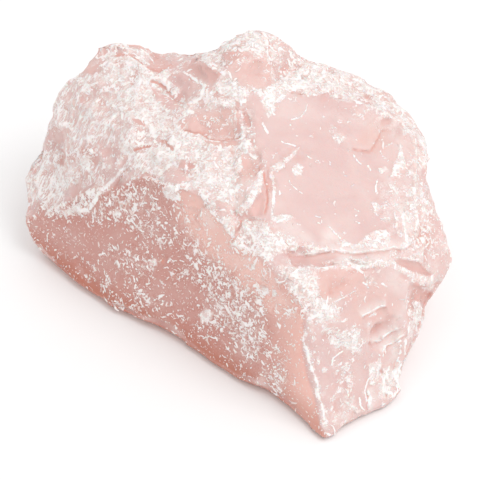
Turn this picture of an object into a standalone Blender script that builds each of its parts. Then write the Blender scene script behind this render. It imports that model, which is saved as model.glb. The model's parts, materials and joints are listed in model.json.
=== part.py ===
"""A raw chunk of pink common opal, broken from the seam and left uncut: one solid stone.

The stone is drawn from its ridges. Its seen corners are measured in one fixed study view, which looks
down on the stone from the front: how far right and how far up a corner is seen, and how high it stands
above the table, all in millimetres. Ridges join the corners, each broken face is a smooth film between
its ridges, and shell-shaped chips are scooped out of the faces and along the ridges.
"""

import math
import random

import bmesh
import bpy
from mathutils import Matrix, Vector, bvhtree, geometry, noise

MM = 0.001

# The study view: it looks along +Y and down, at a point of the table under the stone.
VIEW_TILT = math.radians(45)
VIEW_DISTANCE = 400.0
VIEW_RIGHT = Vector((1, 0, 0))
VIEW_UP = Vector((0, math.sin(VIEW_TILT), math.cos(VIEW_TILT)))
VIEW_BACK = Vector((0, -math.cos(VIEW_TILT), math.sin(VIEW_TILT)))

# The outline, corner by corner: the foot from the left toe round the near tip, then up the right side,
# back along the skyline and down the left side. Each corner is (right, up, height).
FOOT = {
    "foot_left": (-40.4, -2.8, 1.8),
    "foot_left_mid": (-35.0, -7.6, 1.4),
    "foot_strip_end": (-26.6, -13.6, 1.0),
    "foot_a": (-19.0, -16.8, 1.4),
    "foot_b": (-8.0, -22.2, 1.0),
    "foot_spur": (1.8, -29.9, 0.8),
    "foot_spur_notch": (4.8, -29.5, 1.6),
    "foot_c": (8.6, -33.3, 1.0),
    "near_tip": (17.4, -39.9, 0.8),
    "right_foot_a": (22.0, -37.7, 1.2),
    "right_foot_b": (26.4, -34.6, 1.4),
    "right_foot_corner": (31.8, -32.0, 1.2),
    "right_foot_c": (33.2, -28.4, 2.5),
}
RIGHT_SIDE = {
    "side_a": (33.4, -24.6, 5.0),
    "side_b": (36.4, -18.4, 8.0),
    "side_c": (38.8, -12.4, 11.0),
    "side_d": (40.8, -9.0, 14.0),
    "side_bulge": (42.8, -4.4, 17.0),
    "side_e": (41.8, 0.2, 20.5),
    "side_f": (40.4, 3.0, 22.5),
    "side_g": (38.6, 7.6, 24.5),
    "side_notch": (37.0, 11.6, 26.5),
    "side_h": (38.4, 16.2, 27.0),
}
SKYLINE = {
    "sky_a": (37.2, 20.4, 28.5),
    "sky_b": (35.4, 23.8, 30.0),
    "sky_c": (32.0, 27.0, 31.0),
    "sky_d": (29.0, 29.6, 32.0),
    "sky_e": (24.4, 32.2, 33.5),
    "sky_f": (19.4, 34.2, 35.5),
    "sky_g": (14.4, 36.0, 38.0),
    "sky_h": (7.6, 40.2, 42.5),
    "peak": (4.4, 42.2, 45.5),
    "sky_i": (0.0, 41.8, 45.0),
    "sky_j": (-3.6, 41.0, 43.5),
    "sky_k": (-6.4, 39.8, 40.5),
    "sky_l": (-11.2, 38.8, 36.5),
    "sky_dip": (-16.4, 38.0, 33.5),
    "sky_m": (-19.0, 39.0, 36.0),
    "hump": (-23.8, 40.0, 38.0),
    "left_peak": (-28.4, 39.2, 36.5),
}
LEFT_SIDE = {
    "left_a": (-32.8, 34.0, 33.0),
    "left_b": (-36.6, 29.0, 29.0),
    "left_c": (-38.8, 23.6, 24.0),
    "left_d": (-40.2, 19.0, 19.0),
    "left_e": (-43.0, 15.0, 14.0),
    "left_f": (-43.8, 10.0, 11.0),
    "left_g": (-43.2, 4.4, 7.5),
    "left_h": (-42.0, -0.2, 4.0),
}

# The corners inside the outline, face by face.
LEFT_END = {
    "tip_facet_a": (-27.8, 36.0, 36.5),
    "tip_facet_b": (-29.2, 33.6, 35.0),
    "end_ridge_a": (-26.2, 32.0, 36.0),
    "end_ridge_b": (-23.8, 27.2, 35.5),
    "end_ridge_c": (-22.4, 22.6, 34.0),
    "end_ridge_d": (-23.4, 18.0, 31.0),
    "end_corner": (-23.6, 14.6, 28.5),
    "end_bevel_a": (-28.8, 10.6, 23.5),
    "end_bevel_b": (-33.6, 8.2, 18.0),
    "end_bevel_c": (-38.4, 5.4, 12.0),
    "end_belly_a": (-32.0, 24.0, 30.0),
    "end_belly_b": (-33.0, 15.0, 23.5),
}
LONG_FACE = {
    "bevel_low_a": (-26.4, 10.4, 24.5),
    "bevel_low_b": (-28.4, 5.8, 18.8),
    "bevel_low_c": (-32.8, 5.2, 15.6),
    "toe_corner": (-37.2, 2.4, 9.5),
    "strip_b": (-33.0, -3.4, 6.3),
    "strip_c": (-29.6, -8.2, 3.6),
    "long_belly_a": (-24.0, -1.0, 14.5),
    "long_belly_b": (-18.0, 3.0, 22.0),
    "long_belly_c": (-14.0, -6.0, 15.0),
    "long_belly_d": (-5.0, -12.0, 14.4),
    "long_belly_e": (-5.0, -3.0, 23.6),
    "long_bend_a": (5.6, -9.6, 23.6),
    "long_bend_b": (5.0, -18.0, 15.0),
    "long_bend_c": (9.2, -26.4, 9.2),
}
BROW = {
    "brow_a": (-18.0, 12.8, 31.0),
    "brow_b": (-13.6, 10.0, 31.0),
    "brow_c": (-10.0, 10.6, 33.0),
    "brow_d": (-7.0, 8.2, 32.3),
    "brow_e": (-4.8, 4.4, 30.3),
    "brow_f": (-0.4, -0.6, 28.8),
    "brow_g": (4.4, -3.6, 28.6),
    "brow_h": (7.2, -6.2, 27.8),
    "near_corner": (12.8, -11.6, 25.5),
    "near_ridge_a": (13.2, -16.4, 21.6),
    "near_ridge_b": (13.6, -22.0, 16.4),
    "near_ridge_c": (14.6, -28.0, 10.9),
    "near_ridge_d": (16.2, -34.2, 5.2),
}
TOP = {
    "rim_a": (-22.4, 36.6, 38.6),
    "rim_b": (-19.6, 34.8, 38.0),
    "rim_c": (-16.4, 33.6, 37.3),
    "rim_d": (-14.2, 34.6, 38.0),
    "rim_e": (-11.6, 36.0, 39.0),
    "step_a": (-8.6, 36.6, 41.8),
    "step_b": (-3.8, 33.4, 42.8),
    "step_c": (-5.6, 30.6, 41.0),
    "step_d": (-8.8, 32.6, 39.6),
    "tread_a": (-14.0, 32.8, 37.4),
    "tread_b": (-10.8, 33.4, 39.2),
    "tread_c": (-7.2, 30.2, 40.2),
    "tread_d": (-10.0, 27.4, 38.0),
    "tread_e": (-13.2, 30.2, 36.6),
    "top_belly_a": (-18.0, 22.0, 35.2),
    "top_belly_b": (-11.0, 18.0, 34.6),
    "top_belly_c": (-5.0, 14.0, 34.4),
    "top_belly_d": (0.0, 18.0, 35.6),
    "top_belly_e": (-2.0, 24.0, 37.6),
    "peak_foot": (5.4, 36.0, 42.6),
    "rib_a": (4.8, 13.4, 35.0),
    "rib_b": (2.4, 10.0, 34.4),
    "rib_c": (0.0, 6.0, 32.4),
    "rib_d": (-1.0, 1.8, 30.0),
}
TABLE_FACE = {
    "table_a": (5.6, -2.0, 29.5),
    "table_b": (9.2, -3.0, 28.5),
    "table_c": (18.0, -2.4, 27.1),
    "table_d": (26.0, -2.8, 25.5),
    "table_e": (32.2, -2.2, 24.5),
    "table_f": (33.6, 2.4, 25.7),
    "table_g": (34.8, 8.0, 27.3),
    "table_h": (35.4, 14.0, 29.0),
    "table_i": (35.6, 18.6, 30.6),
    "table_j": (32.8, 23.2, 32.6),
    "table_k": (28.6, 26.0, 34.3),
    "table_l": (22.0, 28.0, 36.3),
    "table_m": (13.2, 30.0, 38.5),
    "table_n": (7.0, 30.4, 39.8),
    "table_o": (2.8, 28.6, 40.0),
    "table_p": (3.2, 23.0, 38.1),
    "table_q": (4.6, 17.0, 35.8),
    "table_r": (6.2, 10.6, 33.3),
    "table_s": (5.8, 4.4, 31.4),
    "table_belly": (19.0, 13.0, 31.6),
}
NEAR_FACE = {
    "ledge_a": (9.4, -3.7, 27.3),
    "ledge_b": (18.0, -3.1, 25.9),
    "ledge_c": (26.0, -3.4, 24.4),
    "lip_a": (8.8, -5.8, 28.0),
    "lip_b": (12.4, -5.6, 27.6),
    "lip_c": (19.4, -5.0, 26.9),
    "lip_d": (25.0, -4.2, 25.9),
    "lip_e": (30.4, -3.6, 24.6),
    "crease_a": (15.6, -12.8, 24.2),
    "crease_b": (20.2, -11.4, 23.4),
    "crease_c": (24.6, -9.4, 22.6),
    "crease_d": (25.4, -6.6, 24.2),
    "edge_a": (34.2, -8.6, 18.8),
    "edge_b": (34.0, -12.6, 15.9),
    "edge_c": (34.2, -16.4, 12.6),
    "edge_d": (33.8, -21.0, 8.6),
}
SHOULDER = {
    "shoulder_a": (34.2, -1.8, 24.2),
    "shoulder_b": (36.8, -0.2, 23.6),
    "shoulder_c": (37.0, 2.6, 24.6),
    "shell_top_a": (33.4, -3.4, 23.0),
    "shell_top_b": (36.0, -4.5, 21.0),
    "shell_top_c": (38.4, -7.0, 17.6),
    "shell_low_a": (32.6, -5.5, 21.2),
    "shell_low_b": (35.4, -6.9, 18.8),
    "tongue_a": (36.8, -9.6, 16.6),
    "tongue_b": (38.6, -10.6, 13.8),
    "recess_a": (34.8, -12.2, 13.0),
    "recess_b": (38.2, -12.3, 11.4),
}
SEEN = {
    **FOOT,
    **RIGHT_SIDE,
    **SKYLINE,
    **LEFT_SIDE,
    **LEFT_END,
    **LONG_FACE,
    **BROW,
    **TOP,
    **TABLE_FACE,
    **NEAR_FACE,
    **SHOULDER,
}
OUTLINE = [*FOOT, *RIGHT_SIDE, *SKYLINE, *LEFT_SIDE]

# The ridges and steps of the seen side, where one broken face ends and the next begins.
SEEN_RIDGES = [
    "end_corner end_ridge_d end_ridge_c end_ridge_b end_ridge_a tip_facet_a left_peak",
    "tip_facet_a tip_facet_b left_a",
    "end_corner end_bevel_a end_bevel_b end_bevel_c left_g",
    "end_corner bevel_low_a bevel_low_b bevel_low_c toe_corner strip_b strip_c foot_strip_end",
    "end_corner brow_a brow_b brow_c brow_d brow_e brow_f brow_g brow_h near_corner",
    "near_corner near_ridge_a near_ridge_b near_ridge_c near_ridge_d near_tip",
    "hump rim_a rim_b rim_c rim_d rim_e sky_k",
    "rim_e step_a step_b step_c step_d rim_e",
    "rim_d tread_a tread_b tread_c tread_d tread_e tread_a",
    "step_c tread_c",
    "step_d tread_b",
    "table_q rib_a rib_b rib_c rib_d brow_f",
    "peak peak_foot table_n",
    "table_a table_b table_c table_d table_e table_f table_g table_h table_i",
    "table_i table_j table_k table_l table_m table_n table_o table_p table_q table_r table_s table_a",
    "table_a ledge_a ledge_b ledge_c table_e",
    "brow_h lip_a lip_b lip_c lip_d lip_e shell_top_a shell_top_b shell_top_c",
    "lip_e shell_low_a shell_low_b shell_top_c",
    "near_corner crease_a crease_b crease_c crease_d lip_d",
    "shell_low_a edge_a edge_b edge_c edge_d side_a",
    "table_e shoulder_a shoulder_b shoulder_c side_g",
    "edge_a tongue_a tongue_b side_d",
    "edge_b recess_a recess_b side_c",
]

# The far side and the underside, which the study view doesn't see, as plain (x, y, z) in millimetres
# from the table point. The base corners lie under the table top, because the stone is cut flat there.
BASE_Z = -4.0
BASE = {
    "base_a": (-35.0, 0.0, BASE_Z),
    "base_b": (-30.5, -4.5, BASE_Z),
    "base_c": (-22.5, -12.0, BASE_Z),
    "base_d": (-6.0, -23.0, BASE_Z),
    "base_e": (4.0, -32.5, BASE_Z),
    "base_f": (15.0, -44.0, BASE_Z),
    "base_g": (21.0, -41.0, BASE_Z),
    "base_h": (25.5, -37.0, BASE_Z),
    "base_i": (27.0, -31.0, BASE_Z),
    "base_j": (29.5, -20.0, BASE_Z),
    "base_k": (30.0, -7.0, BASE_Z),
    "base_l": (25.5, 4.0, BASE_Z),
    "base_m": (13.0, 9.5, BASE_Z),
    "base_n": (-6.0, 15.0, BASE_Z),
    "base_o": (-23.0, 12.5, BASE_Z),
    "base_p": (-35.0, 5.0, BASE_Z),
}
BACK = {
    "back_a": (-37.0, 16.0, 15.0),
    "back_b": (-27.0, 24.0, 24.0),
    "back_c": (-13.0, 26.0, 20.0),
    "back_d": (3.0, 22.0, 31.0),
    "back_e": (20.0, 19.0, 22.0),
    "back_f": (33.0, 9.0, 18.0),
    "back_g": (37.5, -7.0, 13.0),
    "back_h": (35.0, -21.5, 7.5),
    "back_i": (-22.0, 21.0, 8.0),
    "back_j": (6.0, 19.0, 9.0),
    "back_k": (27.0, 11.0, 7.0),
}
HIDDEN_RIDGES = [
    " ".join([*BASE, "base_a"]),
    "left_c back_a base_p",
    "hump back_b back_i base_o",
    "back_a back_b back_c back_d peak",
    "back_c back_i",
    "back_d back_j base_m",
    "sky_e back_e back_k base_l",
    "back_d back_e back_f side_h",
    "back_f back_g back_h side_b",
    "back_g side_bulge",
]
RIDGE_CREASE = 1.0
OUTLINE_CREASE = 0.75
FILM_LEVELS = 2

# Shell-shaped chips. On the seen side each is (right, up, length, width, depth, turn, lean): where the
# study view sees its middle, its rim, how deep it goes, how far its length turns from level towards
# upright, and how far it digs in towards its right end, in millimetres and degrees.
SEEN_CHIPS = [
    (-4.8, 23.4, 6.6, 12.0, 1.2, -98, 16),
    (1.0, 24.2, 5.0, 2.4, 0.8, -70, 0),
    (-15.6, 30.4, 4.6, 2.2, 1.1, -38, 0),
    (-13.8, 28.2, 4.4, 3.4, 0.5, 10, 0),
    (-14.4, 18.6, 3.6, 1.4, 0.8, -20, 0),
    (-20.0, 18.0, 4.0, 1.2, 0.7, 8, 0),
    (2.0, 15.4, 6.6, 4.0, 0.9, 78, 0),
    (4.0, 7.4, 6.0, 3.2, 0.8, 80, 0),
    (9.8, 16.4, 8.0, 4.6, 0.5, 38, 6),
    (28.6, 21.6, 9.0, 7.0, 0.45, 40, 6),
    (32.0, 16.2, 7.0, 2.8, 0.45, 78, 0),
    (32.4, 3.4, 8.0, 3.0, 0.45, 84, 0),
    (20.6, -0.6, 7.0, 3.0, 0.5, -24, 0),
    (3.2, 34.4, 6.0, 4.4, 0.6, 30, 0),
    (-2.0, 36.6, 5.0, 3.0, 0.6, 20, 0),
    (24.6, 29.4, 6.0, 2.2, 0.6, -38, 0),
    (13.0, 33.6, 6.0, 2.4, 0.6, -16, 0),
    (26.6, -13.4, 8.0, 4.0, 0.5, -40, 8),
    (27.4, -21.8, 9.0, 5.6, 0.6, 64, 8),
    (21.0, -27.0, 8.0, 4.0, 0.5, 70, 0),
    (30.4, -28.6, 5.0, 2.8, 0.7, 50, 0),
    (19.4, -33.0, 5.0, 2.0, 0.5, 74, 0),
    (-15.4, -2.6, 2.4, 1.8, 0.6, 0, 0),
    (-9.4, 5.6, 6.0, 3.0, 0.8, -20, 0),
    (-22.8, 8.6, 5.0, 2.6, 0.6, 30, 0),
    (-34.0, 28.0, 8.0, 3.4, 0.7, 56, 0),
    (-37.4, 14.6, 7.0, 4.0, 0.7, 70, 0),
    (-39.8, 5.6, 4.0, 2.6, 0.6, 40, 0),
]

# On the far side each is (x, y, z, length, width, depth, turn, lean), at the stone's nearest point.
FAR_CHIPS = [
    (-26.0, 26.0, 14.0, 30.0, 19.0, 3.0, 24, 10),
    (2.0, 30.0, 20.0, 26.0, 20.0, 3.4, 70, 12),
    (-6.0, 28.0, 6.0, 20.0, 11.0, 1.8, 0, 0),
    (24.0, 24.0, 24.0, 24.0, 17.0, 2.8, -30, 10),
    (34.0, 10.0, 8.0, 20.0, 12.0, 2.2, 30, 8),
    (44.0, -12.0, 12.0, 18.0, 12.0, 2.0, 60, 8),
    (-18.0, 26.0, 30.0, 13.0, 7.0, 1.4, 10, 0),
    (14.0, 20.0, 36.0, 11.0, 6.0, 1.2, -24, 0),
    (-42.0, 14.0, 10.0, 12.0, 8.0, 1.4, 50, 0),
    (38.0, -20.0, 4.0, 12.0, 6.0, 1.2, 20, 0),
    (10.0, 26.0, 4.0, 13.0, 6.0, 1.2, 10, 0),
    (30.0, 16.0, 16.0, 8.0, 5.0, 1.0, 60, 0),
    (-10.0, 30.0, 20.0, 9.0, 5.0, 1.0, 30, 0),
]

# Small knocks where two faces meet, spread at random along every ridge. Each strays from the ridge's
# direction by up to that many millimetres in its step, and digs in by up to that many degrees.
KNOCKS = 110
KNOCK_LENGTH = (1.6, 4.6)
KNOCK_WIDTH = 0.6
KNOCK_DEPTH = (0.25, 0.7)
KNOCK_STRAY = 2
KNOCK_LEAN = 12
CHIP_ROUNDNESS = 3
CHIP_JAGGEDNESS = 0.1
CHIP_SEED = 7

# The weathered skin: how fine its faces are, how worn its edges, and how coarse its swells, lumps and
# stepped ledges are and how far they stand out.
GRAIN_SIZE = 0.62
EDGE_WEAR = 0.5
SWELL = (11.0, 0.35)
LUMP = (3.6, 0.15)
LEDGE_SIZE = 12.0
LEDGE_STEPS = 1.5
RAG_SIZE = 4.0
RAG_STEPS = 0.22
LEDGE_SOFTNESS = 0.08
LEDGE_RISE = 0.38

# The long face and the table face split clean, so ledges die out where the skin faces these ways.
CALM_FACES = (Vector((-0.62, -0.73, 0.28)), Vector((0.22, -0.28, 0.93)))
CALM_SPREAD = 0.04
FINISHED_FACES = 9000
FLAT_SNAP = 0.12
OPAL_PINK = (0.80, 0.52, 0.47, 1.0)


def seen_point(right, up, height):
    """The point at that height on the study view's line of sight through (right, up)."""
    eye = VIEW_BACK * VIEW_DISTANCE
    aim = VIEW_RIGHT * right + VIEW_UP * up
    return eye + (aim - eye) * ((eye.z - height) / (eye.z - aim.z))


def view_of(point):
    """Where the study view sees a point: (right, up)."""
    scale = VIEW_DISTANCE / (VIEW_DISTANCE - point.dot(VIEW_BACK))
    return Vector((point.dot(VIEW_RIGHT), point.dot(VIEW_UP))) * scale


def film(corners, names, lines):
    """Triangles, as names, that fill the outline and keep to every line."""
    order = {name: i for i, name in enumerate(names)}
    loop = list(zip(OUTLINE, OUTLINE[1:] + OUTLINE[:1]))
    runs = [pair for line in lines for pair in zip(line.split(), line.split()[1:])]
    edges = [(order[a], order[b]) for a, b in loop + runs]
    made = geometry.delaunay_2d_cdt([view_of(corners[n]) for n in names], edges, [], 1, 1e-4)
    if len(made[0]) != len(names):
        crossed = [tuple(round(c, 1) for c in v) for v, o in zip(made[0], made[3]) if not o]
        raise ValueError(f"ridges cross or corners coincide, seen at {crossed}")
    return [[names[made[3][i][0]] for i in face] for face in made[2]]


def stone_cage(corners):
    """The closed cage of corners, its ridges creased."""
    front = film(corners, list(SEEN), SEEN_RIDGES)
    rear = film(corners, [*OUTLINE, *BASE, *BACK], HIDDEN_RIDGES)
    cage = bmesh.new()
    verts = {name: cage.verts.new(place) for name, place in corners.items()}
    for face in front + [face[::-1] for face in rear]:
        cage.faces.new([verts[name] for name in face])
    crease = cage.edges.layers.float.new("crease_edge")
    for a, b in zip(OUTLINE, OUTLINE[1:] + OUTLINE[:1]):
        cage.edges.get((verts[a], verts[b]))[crease] = OUTLINE_CREASE
    for line in SEEN_RIDGES + HIDDEN_RIDGES:
        for a, b in zip(line.split(), line.split()[1:]):
            cage.edges.get((verts[a], verts[b]))[crease] = RIDGE_CREASE
    bmesh.ops.recalc_face_normals(cage, faces=cage.faces)
    return cage


def chip_cutter(dice, middle, normal, along, length, width, depth, lean):
    """A blunt angular lump, as a mesh, that takes a flake of that rim and depth out of the surface."""
    axis = (along - normal * along.dot(normal)).normalized()
    rim = math.sqrt(1 - (1 - 1 / CHIP_ROUNDNESS) ** 2)
    frame = Matrix((axis, normal.cross(axis), normal)).transposed().to_4x4()
    size = Vector((length / 2 / rim, width / 2 / rim, depth * CHIP_ROUNDNESS))
    cutter = bmesh.new()
    bmesh.ops.create_icosphere(cutter, subdivisions=2, radius=1)
    for vert in cutter.verts:
        vert.co *= 1 + dice.uniform(-CHIP_JAGGEDNESS, CHIP_JAGGEDNESS)
    place = Matrix.Translation(middle + normal * depth * (CHIP_ROUNDNESS - 1)) @ frame
    place = place @ Matrix.Rotation(math.radians(lean), 4, "Y") @ Matrix.Diagonal(size).to_4x4()
    cutter.transform(place)
    return cutter


def chips(skin, corners):
    """Every cutter: the chips listed above, then the knocks along the ridges."""
    eye = VIEW_BACK * VIEW_DISTANCE
    dice = random.Random(CHIP_SEED)
    found = []
    for right, up, length, width, depth, turn, lean in SEEN_CHIPS:
        aim = VIEW_RIGHT * right + VIEW_UP * up
        middle, normal, _, _ = skin.ray_cast(eye, (aim - eye).normalized())
        along = VIEW_RIGHT * math.cos(math.radians(turn)) + VIEW_UP * math.sin(math.radians(turn))
        found.append(chip_cutter(dice, middle, normal, along, length, width, depth, lean))
    for x, y, z, length, width, depth, turn, lean in FAR_CHIPS:
        middle, normal, _, _ = skin.find_nearest(Vector((x, y, z)))
        level = Vector((0, 0, 1)).cross(normal).normalized()
        along = Matrix.Rotation(math.radians(turn), 3, normal) @ level
        found.append(chip_cutter(dice, middle, normal, along, length, width, depth, lean))
    runs = [pair for line in SEEN_RIDGES + HIDDEN_RIDGES for pair in zip(line.split(), line.split()[1:])]
    for _ in range(KNOCKS):
        a, b = dice.choice(runs)
        spot = corners[a].lerp(corners[b], dice.random())
        middle, normal, _, _ = skin.find_nearest(spot)
        length = dice.uniform(*KNOCK_LENGTH)
        stray = Vector([dice.uniform(-KNOCK_STRAY, KNOCK_STRAY) for _ in range(3)])
        along = corners[b] - corners[a] + stray
        depth = dice.uniform(*KNOCK_DEPTH)
        lean = dice.uniform(-KNOCK_LEAN, KNOCK_LEAN)
        found.append(chip_cutter(dice, middle, normal, along, length, length * KNOCK_WIDTH, depth, lean))
    return found


def add_cutters(stone, corners):
    """Links the stone to a collection that holds every chip cutter."""
    skin = bvhtree.BVHTree.FromObject(stone, bpy.context.evaluated_depsgraph_get())
    cutters = bpy.data.collections.new("chips")
    for cutter in chips(skin, corners):
        mesh = bpy.data.meshes.new("chip")
        cutter.to_mesh(mesh)
        cutter.free()
        cutters.objects.link(bpy.data.objects.new("chip", mesh))
    chipping = stone.modifiers.new("chips", "BOOLEAN")
    chipping.operand_type = "COLLECTION"
    chipping.collection = cutters
    chipping.solver = "EXACT"
    return cutters


def settle_modifiers(stone):
    """Makes the modifiers' result the stone's own mesh."""
    graph = bpy.context.evaluated_depsgraph_get()
    mesh = bpy.data.meshes.new_from_object(stone.evaluated_get(graph))
    stone.modifiers.clear()
    stone.data = mesh


def regrain(stone):
    """Spreads even small faces over the stone, each point still on the broken faces."""
    broken = bvhtree.BVHTree.FromObject(stone, bpy.context.evaluated_depsgraph_get())
    grain = stone.modifiers.new("grain", "REMESH")
    grain.mode = "VOXEL"
    grain.voxel_size = GRAIN_SIZE
    settle_modifiers(stone)
    shape = bmesh.new()
    shape.from_mesh(stone.data)
    for vert in shape.verts:
        vert.co = broken.find_nearest(vert.co)[0]
    bmesh.ops.smooth_vert(shape, verts=shape.verts, factor=EDGE_WEAR, use_axis_x=True, use_axis_y=True,
                          use_axis_z=True)
    shape.to_mesh(stone.data)
    shape.free()


def ledge_height(spot, normal):
    """How far the stepped break stands out there: level treads with short risers between them."""
    level = noise.noise(spot / LEDGE_SIZE) * LEDGE_STEPS + noise.noise(spot / RAG_SIZE) * RAG_STEPS
    tread = math.floor(level)
    riser = min(1, (level - tread) / LEDGE_SOFTNESS)
    strength = min(1, *((1 - normal.dot(face)) / CALM_SPREAD for face in CALM_FACES))
    return (tread + riser) * LEDGE_RISE * strength


def weather(mesh):
    """Lifts and sinks the skin in slow swells, stepped ledges and smaller lumps."""
    outward = [vert.normal.copy() for vert in mesh.vertices]
    for vert, normal in zip(mesh.vertices, outward):
        lift = sum(noise.noise(vert.co / size) * height for size, height in (SWELL, LUMP))
        vert.co += normal * (lift + ledge_height(vert.co, normal))


def cut_flat(mesh):
    """Cuts the stone off at the table top and closes the cut with one flat face."""
    shape = bmesh.new()
    shape.from_mesh(mesh)
    for vert in shape.verts:
        if abs(vert.co.z) < FLAT_SNAP:
            vert.co.z = 0
    whole = shape.verts[:] + shape.edges[:] + shape.faces[:]
    down = Vector((0, 0, -1))
    cut = bmesh.ops.bisect_plane(shape, geom=whole, plane_co=(0, 0, 0), plane_no=down, clear_outer=True)
    rim = [piece for piece in cut["geom_cut"] if isinstance(piece, bmesh.types.BMEdge)]
    bmesh.ops.contextual_create(shape, geom=rim)
    bmesh.ops.dissolve_degenerate(shape, edges=shape.edges, dist=FLAT_SNAP / 4)
    bmesh.ops.triangulate(shape, faces=shape.faces)
    bmesh.ops.recalc_face_normals(shape, faces=shape.faces)
    shape.to_mesh(mesh)
    shape.free()


def centre(mesh):
    """Puts the middle of the stone's box over the origin, and turns millimetres into metres."""
    middle = [(min(side) + max(side)) / 2 for side in zip(*(vert.co for vert in mesh.vertices))]
    mesh.transform(Matrix.Scale(MM, 4) @ Matrix.Translation((-middle[0], -middle[1], 0)))


def opal():
    material = bpy.data.materials.new("pink_common_opal")
    material.use_nodes = True
    shader = material.node_tree.nodes["Principled BSDF"]
    shader.inputs["Base Color"].default_value = OPAL_PINK
    shader.inputs["Roughness"].default_value = 0.5
    shader.inputs["Metallic"].default_value = 0.0
    return material


for old in list(bpy.data.objects):
    bpy.data.objects.remove(old)

corners = {name: seen_point(*seen) for name, seen in SEEN.items()}
corners |= {name: Vector(place) for name, place in {**BASE, **BACK}.items()}
cage = stone_cage(corners)
stone = bpy.data.objects.new("pink_opal_stone", bpy.data.meshes.new("pink_opal_stone"))
bpy.context.scene.collection.objects.link(stone)
cage.to_mesh(stone.data)
cage.free()
films = stone.modifiers.new("films", "SUBSURF")
films.levels = films.render_levels = FILM_LEVELS
settle_modifiers(stone)

cutters = add_cutters(stone, corners)
settle_modifiers(stone)
for cutter in list(cutters.objects):
    bpy.data.objects.remove(cutter)
regrain(stone)
weather(stone.data)
fewer = stone.modifiers.new("fewer", "DECIMATE")
fewer.ratio = FINISHED_FACES / 2 / len(stone.data.polygons)
settle_modifiers(stone)
cut_flat(stone.data)
centre(stone.data)
stone.data.materials.append(opal())
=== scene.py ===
"""A raw chunk of pink common opal on a white table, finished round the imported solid.

The stone is one piece. The script goes through it as it came about: the break, the bruised skin, the
crushed flakes that cling to it, and then the table and the light.
"""

import json
import math

import bmesh
import bpy
import numpy as np
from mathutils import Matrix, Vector, bvhtree, kdtree, noise

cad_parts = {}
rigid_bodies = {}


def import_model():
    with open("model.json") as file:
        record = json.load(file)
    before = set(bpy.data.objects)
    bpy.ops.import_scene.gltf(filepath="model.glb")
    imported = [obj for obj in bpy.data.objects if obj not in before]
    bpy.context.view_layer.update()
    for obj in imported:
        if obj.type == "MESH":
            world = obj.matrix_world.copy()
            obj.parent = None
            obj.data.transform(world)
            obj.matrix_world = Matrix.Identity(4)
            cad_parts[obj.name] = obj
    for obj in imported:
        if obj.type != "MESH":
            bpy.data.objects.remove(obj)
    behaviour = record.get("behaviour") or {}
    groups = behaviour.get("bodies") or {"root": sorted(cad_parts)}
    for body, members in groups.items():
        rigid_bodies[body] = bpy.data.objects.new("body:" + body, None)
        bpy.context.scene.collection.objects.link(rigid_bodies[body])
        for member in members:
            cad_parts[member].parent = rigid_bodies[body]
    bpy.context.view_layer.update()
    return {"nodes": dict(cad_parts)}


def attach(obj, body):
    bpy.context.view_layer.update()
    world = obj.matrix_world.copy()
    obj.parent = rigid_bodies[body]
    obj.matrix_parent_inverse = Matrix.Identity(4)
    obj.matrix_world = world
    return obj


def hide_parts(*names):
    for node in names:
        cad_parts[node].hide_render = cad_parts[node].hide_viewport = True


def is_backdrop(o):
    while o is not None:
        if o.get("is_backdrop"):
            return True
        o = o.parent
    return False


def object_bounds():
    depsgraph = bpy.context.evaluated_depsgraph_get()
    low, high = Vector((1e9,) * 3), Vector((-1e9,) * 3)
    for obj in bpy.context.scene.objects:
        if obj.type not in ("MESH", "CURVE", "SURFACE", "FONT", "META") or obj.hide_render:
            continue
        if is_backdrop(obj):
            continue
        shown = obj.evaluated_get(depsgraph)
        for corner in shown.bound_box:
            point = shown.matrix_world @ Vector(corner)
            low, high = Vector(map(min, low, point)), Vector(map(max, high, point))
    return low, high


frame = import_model()

# ---------------------------------------------------------------------------------------------------
# The camera. A long lens looks down on the stone from the front, at one point of the table under it.
# Every mark on the stone below is placed as this view sees it: so many millimetres right of and above
# that point.
MM = 0.001
LOOK_DOWN = math.radians(45)
LOOK_FROM = 400.0
LOOK_AT = Vector((1.57, 13.0, 0.0))
LENS_MM = 150
SENSOR_MM = 36
RIGHTWARDS = Vector((1, 0, 0))
UPWARDS = Vector((0, math.sin(LOOK_DOWN), math.cos(LOOK_DOWN)))
TOWARDS = Vector((0, -math.cos(LOOK_DOWN), math.sin(LOOK_DOWN)))

lens = bpy.data.cameras.new("long lens")
lens.lens = LENS_MM
lens.sensor_width = SENSOR_MM
camera = bpy.data.objects.new("camera", lens)
camera.location = (LOOK_AT + TOWARDS * LOOK_FROM) * MM
camera.rotation_mode = "QUATERNION"
camera.rotation_quaternion = (-TOWARDS).to_track_quat("-Z", "Y")
bpy.context.scene.collection.objects.link(camera)
bpy.context.scene.camera = camera

# ---------------------------------------------------------------------------------------------------
# The break. Common opal splits like thick glass, in shells, ledges and splinters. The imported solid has
# the faces, ridges and large chips. Here its skin is cut finer, and the small ones come off it. One
# piece of natural stone, worked in millimetres.

# How fine the skin is cut, and how low a point still belongs to the flat base.
GRAIN = 0.45
ON_TABLE = 0.05
# The way the stone splits, which its fine ridges, splinters and flakes follow.
SPLIT = np.array((0.45, 0.45, 0.77))
SPLIT = SPLIT / np.linalg.norm(SPLIT)
# How the marks wander from their outlines: (size of the swells, how far, where their noise is read).
WANDERS = [(3.0, 0.32, (51, 77)), (0.8, 0.14, (13, 29))]


def at_points(mesh, name):
    """Each point's place, for "co", or its normal, for "normal"."""
    flat = np.empty(len(mesh.vertices) * 3)
    mesh.vertices.foreach_get(name, flat)
    return flat.reshape(-1, 3)


def fade(values, low, high):
    """0 below low, 1 above high, and smooth between."""
    t = np.clip((values - low) / (high - low), 0, 1)
    return t * t * (3 - 2 * t)


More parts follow.
